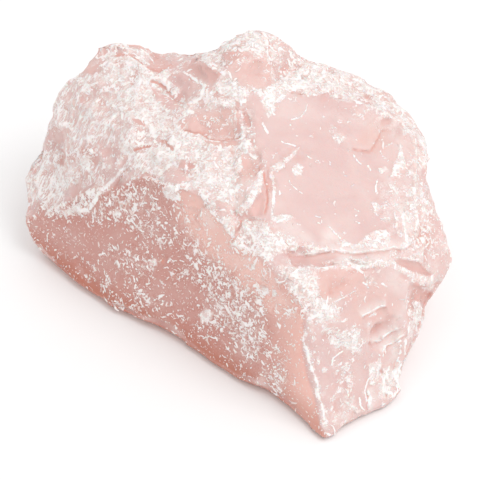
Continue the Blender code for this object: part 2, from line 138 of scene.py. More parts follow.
def noise_over(points, size, shift=0.0):
    """Smooth noise from about -1 to 1, whose swells are that size, read at a place of its own."""
    offset = Vector((shift, shift * 0.7, shift * 1.3))
    return np.array([noise.noise(Vector(p) + offset) for p in points / size])


def seen_at(points):
    """Where the camera sees each point, (right, up) in millimetres, wandering a little, so that what is
    drawn by these places has ragged edges."""
    away = points - np.array(LOOK_AT)
    nearness = LOOK_FROM / (LOOK_FROM - away @ np.array(TOWARDS))
    spots = np.stack([away @ np.array(RIGHTWARDS), away @ np.array(UPWARDS)], 1) * nearness[:, None]
    for size, reach, reads in WANDERS:
        spots += np.stack([noise_over(points, size, read) for read in reads], 1) * reach
    return spots


def shown(normals):
    """1 where the skin faces the camera, and 0 where it faces away."""
    return fade(normals @ np.array(TOWARDS), -0.05, 0.25)


solid = frame["nodes"]["pink_opal_stone"]
broken = bmesh.new()
broken.from_mesh(solid.data)
bmesh.ops.transform(broken, matrix=solid.matrix_world, verts=broken.verts)
bmesh.ops.scale(broken, vec=(1 / MM,) * 3, verts=broken.verts)
bmesh.ops.remove_doubles(broken, verts=broken.verts, dist=1e-3)
solid_faces = bvhtree.BVHTree.FromBMesh(broken)
skin = bpy.data.meshes.new("opal_stone")
broken.to_mesh(skin)
broken.free()
stone = bpy.data.objects.new("opal_stone", skin)
bpy.context.scene.collection.objects.link(stone)
grain = stone.modifiers.new("grain", "REMESH")
grain.mode = "VOXEL"
grain.voxel_size = GRAIN
skin = bpy.data.meshes.new_from_object(stone.evaluated_get(bpy.context.evaluated_depsgraph_get()))
stone.modifiers.clear()
stone.data = skin
skin.name = "opal_stone"

# Each point of the finer skin goes back onto the solid's own faces.
points = np.array([solid_faces.find_nearest(Vector(p))[0] for p in at_points(skin, "co")])
skin.vertices.foreach_set("co", points.ravel())
skin.update()
normals = at_points(skin, "normal")
spots = seen_at(points)
facing = shown(normals)

ends = np.empty(len(skin.edges) * 2, int)
skin.edges.foreach_get("vertices", ends)
ends = ends.reshape(-1, 2)
ties = np.bincount(ends.ravel(), minlength=len(points))


def spread(values, times):
    """Each point's values mixed with its neighbours', so many times."""
    for _ in range(times):
        total = np.stack([np.bincount(ends[:, 0], v[ends[:, 1]], len(ties))
                          + np.bincount(ends[:, 1], v[ends[:, 0]], len(ties)) for v in values.T], 1)
        values = (values + total / ties[:, None]) / 2
    return values


def within(corners, spots, soft):
    """1 inside the outline and 0 outside it, with an edge that fades over twice that width."""
    ring = np.array(corners, float)
    found = np.zeros(len(spots))
    near = np.flatnonzero(((spots > ring.min(0) - soft) & (spots < ring.max(0) + soft)).all(1))
    x, y = spots[near].T
    inside = np.zeros(len(near), bool)
    nearest = np.full(len(near), 1e9)
    for start, end in zip(ring, np.roll(ring, -1, 0)):
        step = end - start
        away = spots[near] - start
        along = np.clip(away @ step / (step @ step), 0, 1)
        nearest = np.minimum(nearest, np.hypot(*(away - along[:, None] * step).T))
        if step[1]:
            crosses = (start[1] > y) != (end[1] > y)
            inside ^= crosses & (x < start[0] + (y - start[1]) * step[0] / step[1])
    found[near] = fade(np.where(inside, nearest, -nearest), -soft, soft)
    return found


# Where the solid's sharp rims are worn away, each as its corners are seen.
NOTCHES = [
    [(19.4, 0.4), (30.8, 0.8), (34, 0.4), (34, -4), (31.4, -7.6), (19.4, -8.4)],
    [(12.6, -15.4), (15, -15.4), (15.6, -22.4), (17.2, -28), (18.6, -34), (18.6, -38.6), (16.6, -38.6),
     (15.4, -34), (14, -28), (12.4, -22.4)],
    [(11.4, -9.4), (18, -9.4), (18, -13.4), (11.4, -13.4)],
    [(2.4, -2.6), (6.6, -2.6), (16, -11), (14, -13.4), (4.6, -8)],
]
WEAR_TIMES = 36
worn = np.max([within(corners, spots, 0.9) for corners in NOTCHES], 0) * facing
points += (spread(points, WEAR_TIMES) - points) * worn[:, None]
skin.vertices.foreach_set("co", points.ravel())
skin.update()
normals = at_points(skin, "normal")
spots = seen_at(points)
facing = shown(normals)

# How sharply the skin stands out round each point: its ridges are above 0 and its hollows below. And the
# faces, by the way they look: the long one, the table-like top and the front end broke clean, and the
# left one is combed by fine ridges along the split. Elsewhere the stone is rough.
BREAKS = {"long": (-0.62, -0.73, 0.28), "top": (0.22, -0.28, 0.93), "front": (0.505, -0.717, 0.482),
          "left": (-0.72, -0.36, 0.59)}
# A hollow of the left face leans as the long one does, but belongs to the left.
LEFT_HOLLOW = [(-29, 20.6), (-22.6, 21), (-21.6, 16.6), (-24.8, 14), (-28, 11.4), (-30, 13)]
# Near the table, up to about these heights, whatever looks this way belongs to the long face, however steep
# it is.
FOOT_LOW, FOOT_HIGH = 1.2, 2.6
LONG_FACES_WAY = (-0.647, -0.762)
# How many times the skin is smoothed to tell its ridges, its fine ridges, and which way its faces look.
RIDGE_TIMES, FINE_TIMES, FACE_TIMES = 14, 3, 20
standing = ((points - spread(points, RIDGE_TIMES)) * normals).sum(1)
leaning = spread(normals * (points[:, 2:] > ON_TABLE), FACE_TIMES)
leaning /= np.maximum(np.linalg.norm(leaning, axis=1), 1e-6)[:, None]
share = {name: 1 - fade(1 - leaning @ np.array(face), 0.01, 0.07) for name, face in BREAKS.items()}
level = leaning[:, :2] / np.maximum(np.linalg.norm(leaning[:, :2], axis=1), 1e-6)[:, None]
low_down = (1 - fade(points[:, 2], FOOT_LOW, FOOT_HIGH)) * fade(level @ LONG_FACES_WAY, 0.80, 0.92)
share["long"] = np.maximum(share["long"], low_down)
share["long"] *= 1 - within(LEFT_HOLLOW, spots, 0.9) * facing
behind = fade(-(normals @ np.array(TOWARDS)), -0.2, 0.2)
rough = (1 - share["long"]) * (1 - share["top"]) * (1 - 0.75 * share["front"])
rough *= 1 - 0.7 * behind * fade(noise_over(points, 16, 3), -0.15, 0.25)
combed = share["left"] * (1 - share["long"])
rough *= 1 - 0.6 * fade(standing, 0.1, 0.5)
all_points = kdtree.KDTree(len(points))
for i, point in enumerate(points):
    all_points.insert(point, i)
all_points.balance()


def scars(count, least, most, depth, stretch, seed):
    """How far the skin drops where shallow shells have come off it, which meet in sharp creases."""
    dice = np.random.default_rng(seed)
    drop = np.zeros(len(points))
    for place in dice.choice(len(points), count, replace=False):
        size = least * (most / least) ** dice.random()
        along_split = SPLIT * (stretch - 1) + dice.normal(size=3)
        run = along_split - normals[place] * (along_split @ normals[place])
        run /= np.linalg.norm(run)
        near = np.array([found[1] for found in all_points.find_range(points[place], 1.6 * size * stretch)])
        away = points[near] - points[place]
        along = away @ run / stretch
        off = (away**2).sum(1) - (along * stretch) ** 2 + along**2
        shell = depth * size * (off / size**2 - 1 + 0.9 * along / size)
        drop[near] = np.minimum(drop[near], shell)
    return drop


# The shells that came off: (how many, least and most width, depth for the width, how drawn out they are
# along the split, seed).
LARGE_SHELLS = (520, 1.6, 4.5, 0.20, 1.0, 3)
SMALL_SHELLS = (3400, 0.6, 1.7, 0.20, 1.7, 4)
WIDE_SHELLS = (60, 6.0, 11.0, 0.03, 1.0, 5)
relief = scars(*LARGE_SHELLS) * rough
relief += scars(*SMALL_SHELLS) * rough
relief += scars(*WIDE_SHELLS)
relief += noise_over(points, 2.1, 9) * 0.05 * rough
# The sharpest edges are worn, and the tightest creases are filled with crushed stone.
relief -= np.minimum(standing, 0) * 0.7 + np.maximum(standing, 0) * 0.35
relief *= 1 - 0.7 * worn
# The combed face has fine ridges, drawn out along the split.
COMB_WIDTH = 1.5
COMB_DEPTH = 0.30
drawn_out = points - (points @ SPLIT)[:, None] * SPLIT * 0.8
relief -= np.abs(noise_over(drawn_out, COMB_WIDTH, 23)) * COMB_DEPTH * combed

# How bruised the stone is, zone by zone, from 0, clear, to 1, crushed white. Each zone is (bruise, width
# of its soft edge, corners as seen).
ZONES = [
    # the long face
    (0.27, 0.8, [(-43, 7), (-36, 5), (-26, 11), (-17, 12), (-9, 9), (-6, 3), (0, -2), (5, -7), (13, -16),
                 (14, -25), (17, -40), (8, -36), (-8, -24), (-22, -17), (-34, -9), (-45, 2)]),
    (0.52, 1.2, [(-32, 3), (-29, 7), (-23, 12), (-18, 11), (-16, 3), (-15, -1), (-18, -1), (-22, 2),
                 (-27, 4)]),
    (0.34, 1.0, [(-17, 8), (-12, 8), (-9, 6), (-9, 0), (-14, -1), (-17, 3)]),
    (0.12, 1.0, [(-33, 3), (-24, 3), (-19, 0), (-26, -2), (-34, -3)]),
    (0.50, 0.8, [(-25.5, -1.6), (-20, -1.4), (-17, -4), (-19, -6.4), (-25, -6)]),
    (0.50, 0.9, [(-21.8, -8), (-19.8, -8), (-16, -12), (-16.6, -14), (-20, -13.4), (-22, -10)]),
    (0.20, 1.2, [(-19, -6), (-9, -9), (-10, -14), (-16, -12)]),
    (0.42, 0.8, [(-30, -6.4), (-26, -8), (-23, -12), (-19, -14.4), (-22, -15.4), (-28, -11)]),
    (0.52, 1.5, [(-12, -2), (-5, -1), (-1, -4), (-7, -8), (-12, -8)]),
    (0.58, 1.5, [(-8, -5), (0, -6), (4, -9), (5, -16), (6, -23), (2, -24), (-2, -19), (-8, -17),
                 (-7, -12)]),
    (0.50, 1.0, [(4, -24), (9, -23.6), (10, -31), (7, -31.4), (3.6, -29)]),
    (0.14, 1.2, [(6, -16), (12.6, -17), (13.6, -26), (16.4, -39), (10, -35), (10.6, -26)]),
    (0.48, 0.5, [(4.6, -13.2), (12.6, -13.4), (12.6, -15), (4.6, -15)]),
    (0.26, 0.8, [(-3, -2), (3.6, -4), (4.8, -7.6), (1, -7.6), (-4, -4.6)]),
    # the left face
    (0.62, 1.0, [(-45, 8), (-36, 5), (-31, 5), (-27, 11), (-23, 15), (-22, 22), (-24, 30), (-28, 35),
                 (-34, 34), (-39, 25), (-45, 14)]),
    (0.55, 1.2, [(-34, 34), (-28, 34), (-25, 29), (-30, 26), (-37, 28)]),
    (0.34, 0.8, [(-38.6, 22.6), (-34.6, 22), (-35.6, 19), (-39.6, 19.6)]),
    (0.26, 0.8, [(-34.6, 27), (-32, 27), (-31.6, 24), (-34, 24.6)]),
    (0.46, 0.8, [(-29, 20), (-25.4, 20), (-23.6, 16), (-25, 12.6), (-30, 13), (-29.6, 17)]),
    (0.74, 1.0, [(-44, 9), (-38, 5.4), (-31.4, 5.6), (-28.6, 9), (-31, 12), (-38, 14), (-44, 13)]),
    (0.86, 0.8, [(-40, 8), (-39.6, 11.6), (-36.4, 12.6), (-34.4, 12), (-35.6, 8), (-38.6, 5.6)]),
    (0.14, 0.6, [(-35.4, 10), (-31.4, 10.6), (-32.6, 8), (-36.6, 7)]),
    # the shattered shoulder between the faces
    (0.74, 1.5, [(-28, 39), (-24, 40), (-18, 37.6), (-15, 34), (-18, 32), (-22, 29), (-24, 30),
                 (-27.6, 34)]),
    (0.77, 1.5, [(-24, 30), (-20, 33), (-14, 34.6), (-8, 30), (0, 28), (2, 20), (2, 12), (-1, 6), (-4, 4),
                 (-8, 9), (-16, 11), (-22, 14), (-22.6, 22)]),
    (0.90, 0.8, [(-22, 17.4), (-17, 18.6), (-12, 17.4), (-11, 15.8), (-16, 14.6), (-22, 14.6)]),
    (0.84, 1.0, [(-9, 13), (-1, 14), (-1, 9), (-4, 8), (-9, 11)]),
    (0.74, 1.2, [(-10, 38), (-4, 41), (4, 42), (8, 39), (8, 35), (4, 37), (-6, 34)]),
    (0.82, 0.6, [(-5, 33.4), (-2.6, 34.2), (0, 31.4), (1, 30.4), (5, 29.8), (8, 31), (8, 28), (4, 28.8),
                 (-2, 28.6), (-6, 30.4)]),
    (0.90, 1.0, [(-2.4, -0.4), (-1.2, 2), (1, 3.8), (5, 3.8), (8, 2.4), (10, 0), (9, -2.2), (5, -3.8),
                 (1, -3)]),
    # the top
    (0.05, 1.0, [(6.4, 14), (6.4, 5.4), (11, 4), (15, -0.4), (23, -0.4), (27, 4), (28, 11), (30, 17),
                 (26, 22), (18, 25), (8, 24.6), (4.4, 22)]),
    (0.38, 1.2, [(17, 27), (24, 27.6), (31, 27), (35, 23), (37, 17), (36, 12), (32.6, 12), (32, 20),
                 (24, 24), (18, 23)]),
    (0.52, 0.8, [(18.4, 23.2), (20.4, 22), (22, 21.6), (21.8, 19.6), (19.4, 18.4), (18.6, 20.6)]),
    (0.54, 1.2, [(28, 12.4), (37, 12), (40, 2), (38, -5), (33, -3), (30, 2), (28, 6)]),
    (0.96, 0.9, [(8, 34.4), (4.2, 30), (8, 28.8), (14, 29.8), (20, 28.8), (25, 27.8), (30, 26.6),
                 (25, 29.6), (17, 33), (12, 35)]),
    (0.94, 0.7, [(4.4, 29.6), (8.2, 28.6), (6.4, 24.6), (4.8, 26.2)]),
    (0.76, 0.9, [(12, 36.4), (20, 34.4), (30, 29), (36, 23.6), (39, 16), (36.8, 15), (35, 21), (31, 25),
                 (24, 29), (16, 32), (11, 34.8)]),
    (0.70, 0.9, [(7, -0.6), (16, -0.8), (19, -2.2), (9, -2.8), (5, -2)]),
    # the front end
    (0.27, 1.0, [(9, -4), (31, -3), (34, -10), (34.6, -20), (29, -33), (18, -40), (15, -28), (13, -16)]),
    (0.72, 1.0, [(9, -5), (15, -6.4), (20.6, -13.6), (20, -16), (14, -16.6), (10, -11)]),
    (0.60, 0.6, [(10, -4.6), (17, -4.6), (24, -3.6), (30.6, -2.8), (30, -5), (20, -5.4), (12, -6)]),
    (0.90, 0.7, [(17, -17), (20, -19), (24, -17.4), (24.2, -23.4), (22, -21.6), (17.4, -21)]),
    (0.62, 0.8, [(19.2, -24), (22.2, -24), (22.6, -31), (19.6, -31)]),
    (0.62, 0.8, [(18, -31.8), (22.8, -31.4), (23.4, -36), (18.4, -38)]),
    (0.78, 0.8, [(28.6, -26.6), (32.4, -25.6), (32, -32), (28.2, -32.4)]),
    (0.74, 0.7, [(34.6, -12.6), (39, -12.6), (35.6, -20.4), (34.2, -20)]),
    (0.12, 0.8, [(22, -12.6), (32.8, -10.4), (33.4, -16), (28, -19.4), (24.6, -18), (21.6, -15)]),
    (0.14, 0.8, [(16.4, -6.6), (24, -6), (24, -9.6), (18, -12), (16.6, -11)]),
    (0.6, 0.7, [(18, -3.6), (24, -3.4), (31, -2.8), (32, -4.6), (26, -6.2), (20, -5.8)]),
    (0.66, 0.5, [(25, -7.4), (27, -7.6), (27, -9), (25.4, -9)]),
    (0.62, 0.5, [(25.4, -17.4), (27, -16.6), (27.4, -18), (25.8, -18.6)]),
    (0.60, 0.8, [(14.6, -38), (20.6, -36.4), (24, -34.6), (22, -38), (18, -40)]),
]

# Along its upper ridge the long face is brighter, in this band, since light comes through the edge there.
BRIGHT_BAND = [(-12.4, 10), (-7.6, 9.8), (-4, 5.6), (0, 1.2), (3.4, -2.4), (6.6, -5.6), (9, -9.6),
               (12, -16), (8, -16.6), (2.6, -11.4), (-1.4, -7), (-5.6, -4), (-9.6, -0.6), (-12, 4)]

# Where the veil lies thick and smooth, like cream, and where the stone is a warmer pink. Each is (how much,
# width of its soft edge, corners as seen).
CREAMS = [
    (0.6, 0.8, [(17.2, 3.4), (19, 1.4), (21.6, -0.8), (15.4, -1), (16.4, 0.6)]),
    (0.60, 1.0, [(6.4, 4), (10, 3.6), (14, 1), (15, -0.8), (8, -0.8), (5.6, 1.6)]),
    (0.85, 0.7, [(30.2, 7.4), (32.6, 8.2), (34.2, 4), (34, 0.2), (32.4, -1.2), (31.6, 2.4)]),
    (0.55, 1.2, [(28.6, 14), (30, 10), (29.4, 5), (31.2, 4), (31.4, 9), (31, 13.4)]),
    (0.60, 1.0, [(33.4, 13), (36, 12.4), (37.6, 7), (36.6, 5), (35, 8)]),
    (0.80, 0.7, [(19.6, -3), (24, -3), (30.6, -2), (32, -4), (30.4, -5), (24, -5.2), (19.6, -4.6)]),
    (0.40, 1.0, [(30, -5), (32.6, -6.4), (34.8, -8.4), (33.8, -12), (31, -10.6), (28.8, -8)]),
    (0.60, 0.8, [(31.4, -14.2), (33.8, -12.6), (33.6, -17), (30.4, -17)]),
    (0.50, 1.0, [(14.6, -15.4), (20.6, -13), (20.4, -11.6), (14.6, -14)]),
    (0.60, 0.8, [(30.6, -20.4), (33, -19), (32, -24.6), (29.6, -24.4)]),
    (0.35, 1.2, [(7.4, 27.6), (13, 26.8), (20, 25.4), (26, 24.8), (30, 22.8), (33, 20), (32.4, 17.6),
                 (28.6, 21.4), (22.4, 23.8), (14, 24.8), (8, 25)]),
    # Painted light: the bright band also gets a thicker, whiter veil.
    (0.26, 1.6, BRIGHT_BAND),
    (0.55, 0.6, [(-8.8, 4.4), (-7.6, 6.6), (-5.8, 7), (-4.4, 4.8), (-5, 2.6), (-7.4, 1.8)]),
    (0.60, 1.0, [(-3, 12), (2.6, 13.4), (3.8, 10), (0, 6.6), (-3, 7)]),
    (0.60, 1.0, [(-14, 24), (-12.4, 21), (-6, 18.6), (0, 17.6), (0.2, 15), (-8, 15.4), (-14, 19)]),
]
BLUSHES = [
    (0.6, 0.8, [(-12.6, 23), (-9.4, 25.6), (-5.4, 26.6), (-1.4, 26), (-0.4, 22.6), (-2.4, 20), (-8, 21)]),
    (0.7, 0.8, [(-7.6, 20.2), (-1.6, 19.8), (0.6, 20), (-0.6, 18.4), (-5, 18)]),
    (0.4, 1.0, [(-4, 37.8), (5.4, 37), (8, 33), (4, 30), (-0.2, 32), (-2, 34.4)]),
    (0.6, 1.2, [(15.6, -5.6), (24.6, -5.2), (25, -9.6), (18, -12.6), (14, -10.6)]),
    (0.5, 1.0, [(25, 24.4), (29.6, 22.4), (30, 19), (27.4, 17.6), (23, 18.6)]),
    (0.5, 1.0, [(33.4, 2.6), (38.4, 6), (40, 0), (37, -3.4), (34.4, -0.6)]),
    (0.35, 1.6, [(20.6, -7), (29, -8), (32.4, -12), (31, -17), (26, -19), (21.4, -15)]),
    (0.6, 1.0, [(0, 17), (3.4, 16.4), (3.6, 11), (0, 9.6), (-0.6, 12)]),
]

# The chips and patches that stand out by themselves. Each is (bruise, how far it is a clear hollow, how
# deep it is, corners as seen), with a sharp edge. A flake came off where it has a depth, and one still
# clings there where that is below 0.
FACETS = [
    (0.10, 0.28, 0.45, [(-12, 35.6), (-10, 35.8), (-8.2, 36.4), (-6.2, 34.6), (-3.9, 33.4), (-4.8, 31.8),
                        (-5.8, 30.9), (-6.8, 31.6), (-8, 32.9), (-10.2, 33.6), (-11.4, 33.9)]),
    (0.18, 0.10, 0.35, [(-13.6, 33.2), (-11.4, 33.4), (-9.6, 31.6), (-7.7, 30.6), (-8.6, 28.6),
                        (-10.8, 28.4), (-12.6, 30.8), (-14.2, 32.4)]),
    (0.10, 0.40, 0.30, [(-18.2, 35.8), (-16.5, 36.8), (-14.2, 35.8), (-14.6, 34.6), (-16.6, 33.5),
                        (-18, 34)]),
    (0.30, 0.10, 0.15, [(-18, 30.6), (-14.4, 28.6), (-12, 27), (-12.4, 25.9), (-14.6, 26), (-17, 28)]),
    (0.32, 0.00, 0.12, [(-11.8, 24.2), (-9.4, 25.2), (-10.2, 26.4), (-7.4, 26.8), (-5.4, 26.1),
                        (-3.6, 26.8), (-1.7, 26.4), (-1.4, 24.2), (-0.5, 22.6), (-0.9, 21.2),
                        (-2.4, 20.3), (-4.6, 20.1), (-6.4, 20.9), (-8, 21.5), (-10.6, 21.8),
                        (-12.2, 23)]),
    (0.10, 0.20, 0.05, [(-1, 28), (-0.2, 27.6), (0, 24.2), (-0.1, 21.8), (-0.7, 21.6), (-0.8, 24.6)]),
    (0.22, 0.06, 0.10, [(-7.6, 20.2), (-5, 19.6), (-1.6, 19.8), (0.2, 20), (-0.6, 18.9), (-4, 18.3)]),
    (0.46, 0.10, 0.08, [(-3.6, 37.6), (1, 37.6), (5.4, 36.9), (5.2, 35.7), (0.6, 35.1), (-0.4, 34.3),
                        (-1.8, 34.4), (-4, 35.6)]),
    (0.32, 0.06, 0.12, [(0.4, 34.4), (3.4, 35), (7.4, 34.6), (8, 32.2), (6.8, 31.2), (3.8, 30.2), (1, 31),
                        (-0.2, 32.6)]),
    (0.26, 0.06, 0.05, [(0.8, 28.7), (3.8, 28.4), (4.2, 25.8), (4.9, 24), (4.2, 22), (3, 22.6),
                        (2.2, 25.2)]),
    (0.10, 0.42, 0.10, [(0.4, 26.1), (1, 25.6), (1.7, 24), (2.1, 22.7), (1.3, 22.9), (0.7, 24)]),
    (0.22, 0.04, 0.20, [(0, 17), (2.6, 17.4), (3.7, 14.8), (3.3, 12.6), (2.4, 10.4), (0.2, 10.2),
                        (-0.6, 12), (0.6, 14.4)]),
    (0.12, 0.30, 0.30, [(4.7, 11.4), (5.3, 9), (4.7, 5.2), (2.4, 4.5), (1.2, 5.4), (3, 7.4), (4, 9.4)]),
    (0.10, 0.25, 0.25, [(-11.6, 9.6), (-8.2, 9.8), (-7.4, 7.6), (-9, 5.4), (-11, 6), (-11.8, 8)]),
    (0.12, 0.10, 0.15, [(-15.4, 13.6), (-12.2, 14), (-10.2, 13.2), (-12, 11.1), (-15, 11.8)]),
    (0.14, 0.14, 0.10, [(-4.7, 8), (-2.4, 7.2), (-1.9, 5.4), (-4, 4.4), (-4.9, 5.8)]),
    (0.14, 0.20, 0.15, [(-5.6, 3.2), (-3.4, 2.4), (-2, 0.6), (-3, -2), (-5, 0), (-7, 2)]),
    (0.05, 0.55, 0.15, [(5.8, 2.2), (7.4, 2.5), (6.8, 1.1)]),
    (0.05, 0.22, 0.20, [(-32.6, 33.7), (-30.4, 36.4), (-28, 38.9), (-27.8, 35.5), (-29.8, 33.2)]),
    (0.05, 0.60, 0.20, [(-25.2, 37), (-24, 37.5), (-22.4, 37), (-24.4, 36.6)]),
    (0.12, 0.30, 0.15, [(-22.9, 39.4), (-19.8, 39.2), (-18.4, 38), (-20, 37.9)]),
    (0.10, 0.35, 0.15, [(-20.6, 24.4), (-19.2, 23.8), (-19.2, 22.8), (-20.8, 23.2), (-21.8, 24.2)]),
    (0.08, 0.45, 0.20, [(-10.8, 15), (-9.4, 15.2), (-8.8, 14.5), (-10.4, 14.3)]),
    (0.14, 0.25, 0.15, [(-12, 16), (-11, 15.8), (-11, 14.4), (-12.4, 14.6)]),
    (0.10, 0.16, 0.00, [(16.2, 29), (17.6, 29.4), (17.4, 27.6), (16.2, 27.4)]),
    (0.34, 0.00, 0.00, [(8.6, 27.5), (10.5, 27.5), (10.8, 26.2), (8.8, 26)]),
    (0.06, 0.08, 0.00, [(7.2, 27.4), (12.4, 27.2), (12, 25.4), (10, 24.6), (7.4, 25.4)]),
    (0.92, 0.00, -0.12, [(6, 14.9), (8.2, 15.8), (10, 17), (12.2, 18.6), (11, 16.8), (9.6, 15.4),
                         (8.4, 13.9), (6.3, 13.8)]),
    (0.88, 0.00, 0.00, [(10.4, 14), (11.4, 15.4), (12.8, 14.6), (12.4, 13), (11.2, 12.9)]),
    (0.86, 0.00, 0.00, [(6.2, 5.2), (9, 5.2), (11.4, 4.3), (9, 3.6), (6, 3.4)]),
    (0.90, 0.00, -0.10, [(31.8, 19.6), (32.5, 17), (33.1, 16), (33.2, 14.4), (32, 13.5), (30.1, 12.7),
                         (30.7, 14.5), (31.4, 16.4)]),
    (0.80, 0.00, 0.00, [(27.6, 14.2), (29.2, 14.7), (29.8, 14.1), (28.3, 13.1)]),
    (0.80, 0.00, 0.00, [(33.7, 13.9), (34.5, 14.2), (34.9, 13.4), (34.1, 13)]),
    (0.86, 0.00, 0.00, [(26.1, 7.3), (27.2, 7.4), (28, 6.3), (27.2, 4.7), (26.5, 5.6)]),
    (0.84, 0.00, -0.10, [(19, -0.6), (20.6, 0.1), (23.4, -0.9), (26, 1.6), (28, 2.2), (30, 1.4),
                         (30.2, -0.4), (27.4, -1.8), (22, -1.7)]),
    (0.06, 0.16, 0.10, [(11, -3.3), (16, -3.1), (19.6, -2.7), (20, -3.2), (17, -4.3), (13, -4.9),
                        (11, -4.2)]),
    (0.04, 0.30, 0.55, [(31, -3.9), (34, -4.2), (36.4, -4.8), (38.3, -7), (36, -7), (33.4, -6),
                        (31.8, -4.9)]),
    (0.66, 0.00, -0.15, [(30.6, -4), (31.6, -5), (34, -6.2), (37, -7.3), (38.6, -7.1), (38.5, -9.6),
                         (37.4, -10.2), (35, -8.3), (32.6, -6.8), (30.6, -5.8)]),
    (0.04, 0.42, 0.65, [(35, -8.5), (36.4, -9.9), (38.4, -10.5), (38.8, -11.9), (36, -12.3),
                        (34.7, -11.8), (34.5, -10)]),
    (0.70, 0.00, 0.00, [(25.5, -15.4), (26.8, -14.2), (28.1, -13.9), (27.4, -15)]),
    (0.94, 0.00, 0.00, [(25.7, -25), (28, -23.8), (28.5, -25), (27.6, -27.4), (27.2, -29), (26, -28.9)]),
    (0.96, 0.00, -0.10, [(16.7, -25.5), (17.3, -25.4), (17.7, -25.9), (17.4, -26.5), (16.8, -26.6),
                         (16.4, -26)]),
    (0.90, 0.00, 0.00, [(10.4, -8), (11.2, -8), (11.6, -9.2), (10.7, -9.4)]),
    (0.82, 0.00, 0.00, [(4.4, -9.6), (5.6, -9.4), (5.8, -11), (4.4, -11)]),
    (0.80, 0.00, 0.00, [(6.3, -9.8), (7.3, -10), (7.2, -11.4), (6.3, -11.2)]),
    (0.64, 0.00, 0.00, [(-8.4, -14.8), (-7.2, -13.6), (-5.2, -14.4), (-5.6, -16.2), (-7.8, -16.6)]),
    (0.80, 0.00, 0.00, [(2.2, -4.8), (3.1, -4.6), (3.2, -5.8), (2.4, -6)]),
    (0.76, 0.00, 0.00, [(-18, -4.2), (-16.8, -4), (-16.6, -5.2), (-18, -5.2)]),
    (0.02, 0.75, 0.30, [(-15.9, -3.9), (-15.2, -3.8), (-15, -4.6), (-15.6, -4.7)]),
    (0.92, 0.00, -0.10, [(-15.6, 10.4), (-14, 11), (-12.4, 9.8), (-11.8, 8.2), (-13.4, 7.9), (-15, 8.8)]),
    (0.88, 0.00, 0.00, [(-25.9, 5.6), (-24.4, 6), (-23.8, 5), (-25.4, 4.7)]),
    (0.86, 0.00, 0.00, [(-35.7, 5.9), (-32.2, 7), (-30.8, 5.8), (-33, 5.3), (-35.4, 5)]),
    (0.80, 0.00, 0.00, [(-32.4, 16.8), (-30.2, 17.1), (-29.9, 14), (-31.8, 13.6)]),
    (0.95, 0.00, -0.20, [(-17.9, 17.9), (-16.2, 18.8), (-14.2, 17.6), (-12.8, 17.2), (-14.6, 16.6),
                         (-16, 15.9), (-17.4, 16.8)]),
    (0.86, 0.00, -0.15, [(-0.9, 6.1), (0.2, 7.4), (2.5, 10), (3.8, 13.6), (4.9, 14.2), (4.8, 11.8),
                         (3.9, 9.2), (2.6, 7.2), (1, 5.6), (-0.2, 5.2)]),
    (0.88, 0.00, -0.15, [(-4, 5), (-2.2, 4.4), (-1.2, 3), (-1.1, 0.4), (-2, 1.2), (-3.4, 2.8)]),
]
SHARP_EDGE = 0.22

for _, _, depth, corners in FACETS:
    sunk = within(corners, spots, 0.5) * facing
    relief = relief * (1 - 0.5 * sunk) - depth * sunk
outwards = normals.copy()
outwards[points[:, 2] < ON_TABLE, 2] = 0
points = points + outwards * relief[:, None]
points[:, 2] = np.maximum(points[:, 2], 0)
fine_standing = ((points - spread(points, FINE_TIMES)) * normals).sum(1)

# The stone's own bruising, then the zones, whose edges wander widely, and then its ridges, which are
# knocked white, and its creases and its foot, which aren't.
bruise = 0.34 + 0.16 * noise_over(points, 7, 31) - 0.12 * share["long"] - 0.16 * share["top"]
loose = spots + np.stack([noise_over(points, 3.6, k) for k in (61, 83)], 1) * 1.1
for target, soft, corners in ZONES:
    bruise += (target - bruise) * within(corners, loose, soft * 1.5) * facing
bruise += 0.10 * noise_over(points, 4, 37)
ridges = 0.34 * fade(standing, 0.05, 0.35) + 0.30 * fade(fine_standing, 0.01, 0.06)
bruise += ridges * fade(bruise, 0.0, 0.5) - 0.22 * fade(-fine_standing, 0.01, 0.06)
bruise *= 0.25 + 0.75 * fade(points[:, 2], 0.5, 3.5)
# Painted shade: fine creases are given the deeper hollow pink, less on the long face.
clear_and_shaded = fade(-fine_standing, 0.01, 0.08) * 0.30 * (1 - 0.6 * share["long"])
cream, blushing = (
    np.max([much * within(corners, loose, soft * 1.3) for much, soft, corners in zones], 0) * facing
    for zones in (CREAMS, BLUSHES))
banded = 0.85 * within(BRIGHT_BAND, loose, 2.2) * facing
# Painted light: the long face is painted a lighter pink towards its right end, along its ridges and in the
# bright band, where light comes through its edges.
warm = np.max([fade(spots[:, 0], 2, 15) * facing, banded, 0.6 * fade(standing, 0.02, 0.25)], 0)
warm *= share["long"]
# Painted shade: the long face is painted a darker, browner pink towards the table, up to about 8 mm, and
# less so towards its right end.
foot = share["long"] * (1 - fade(points[:, 2], 1, 8)) * (1 - 0.4 * fade(spots[:, 0], -2, 12) * facing)

skin.vertices.foreach_set("co", points.ravel())
# The long face's share, kept as deep, also darkens its pink in the shader, partly its own colour and partly
# painted shade.
kept = {
    "bruise": bruise, "hollow": clear_and_shaded, "deep": share["long"], "warm": warm, "foot": foot, "rough": rough,
    "combed": combed, "clean": share["top"] + 0.8 * share["front"], "cream": cream, "blush": blushing,
}
for name, values in kept.items():
    skin.attributes.new(name, "FLOAT", "POINT").data.foreach_set("value", values)

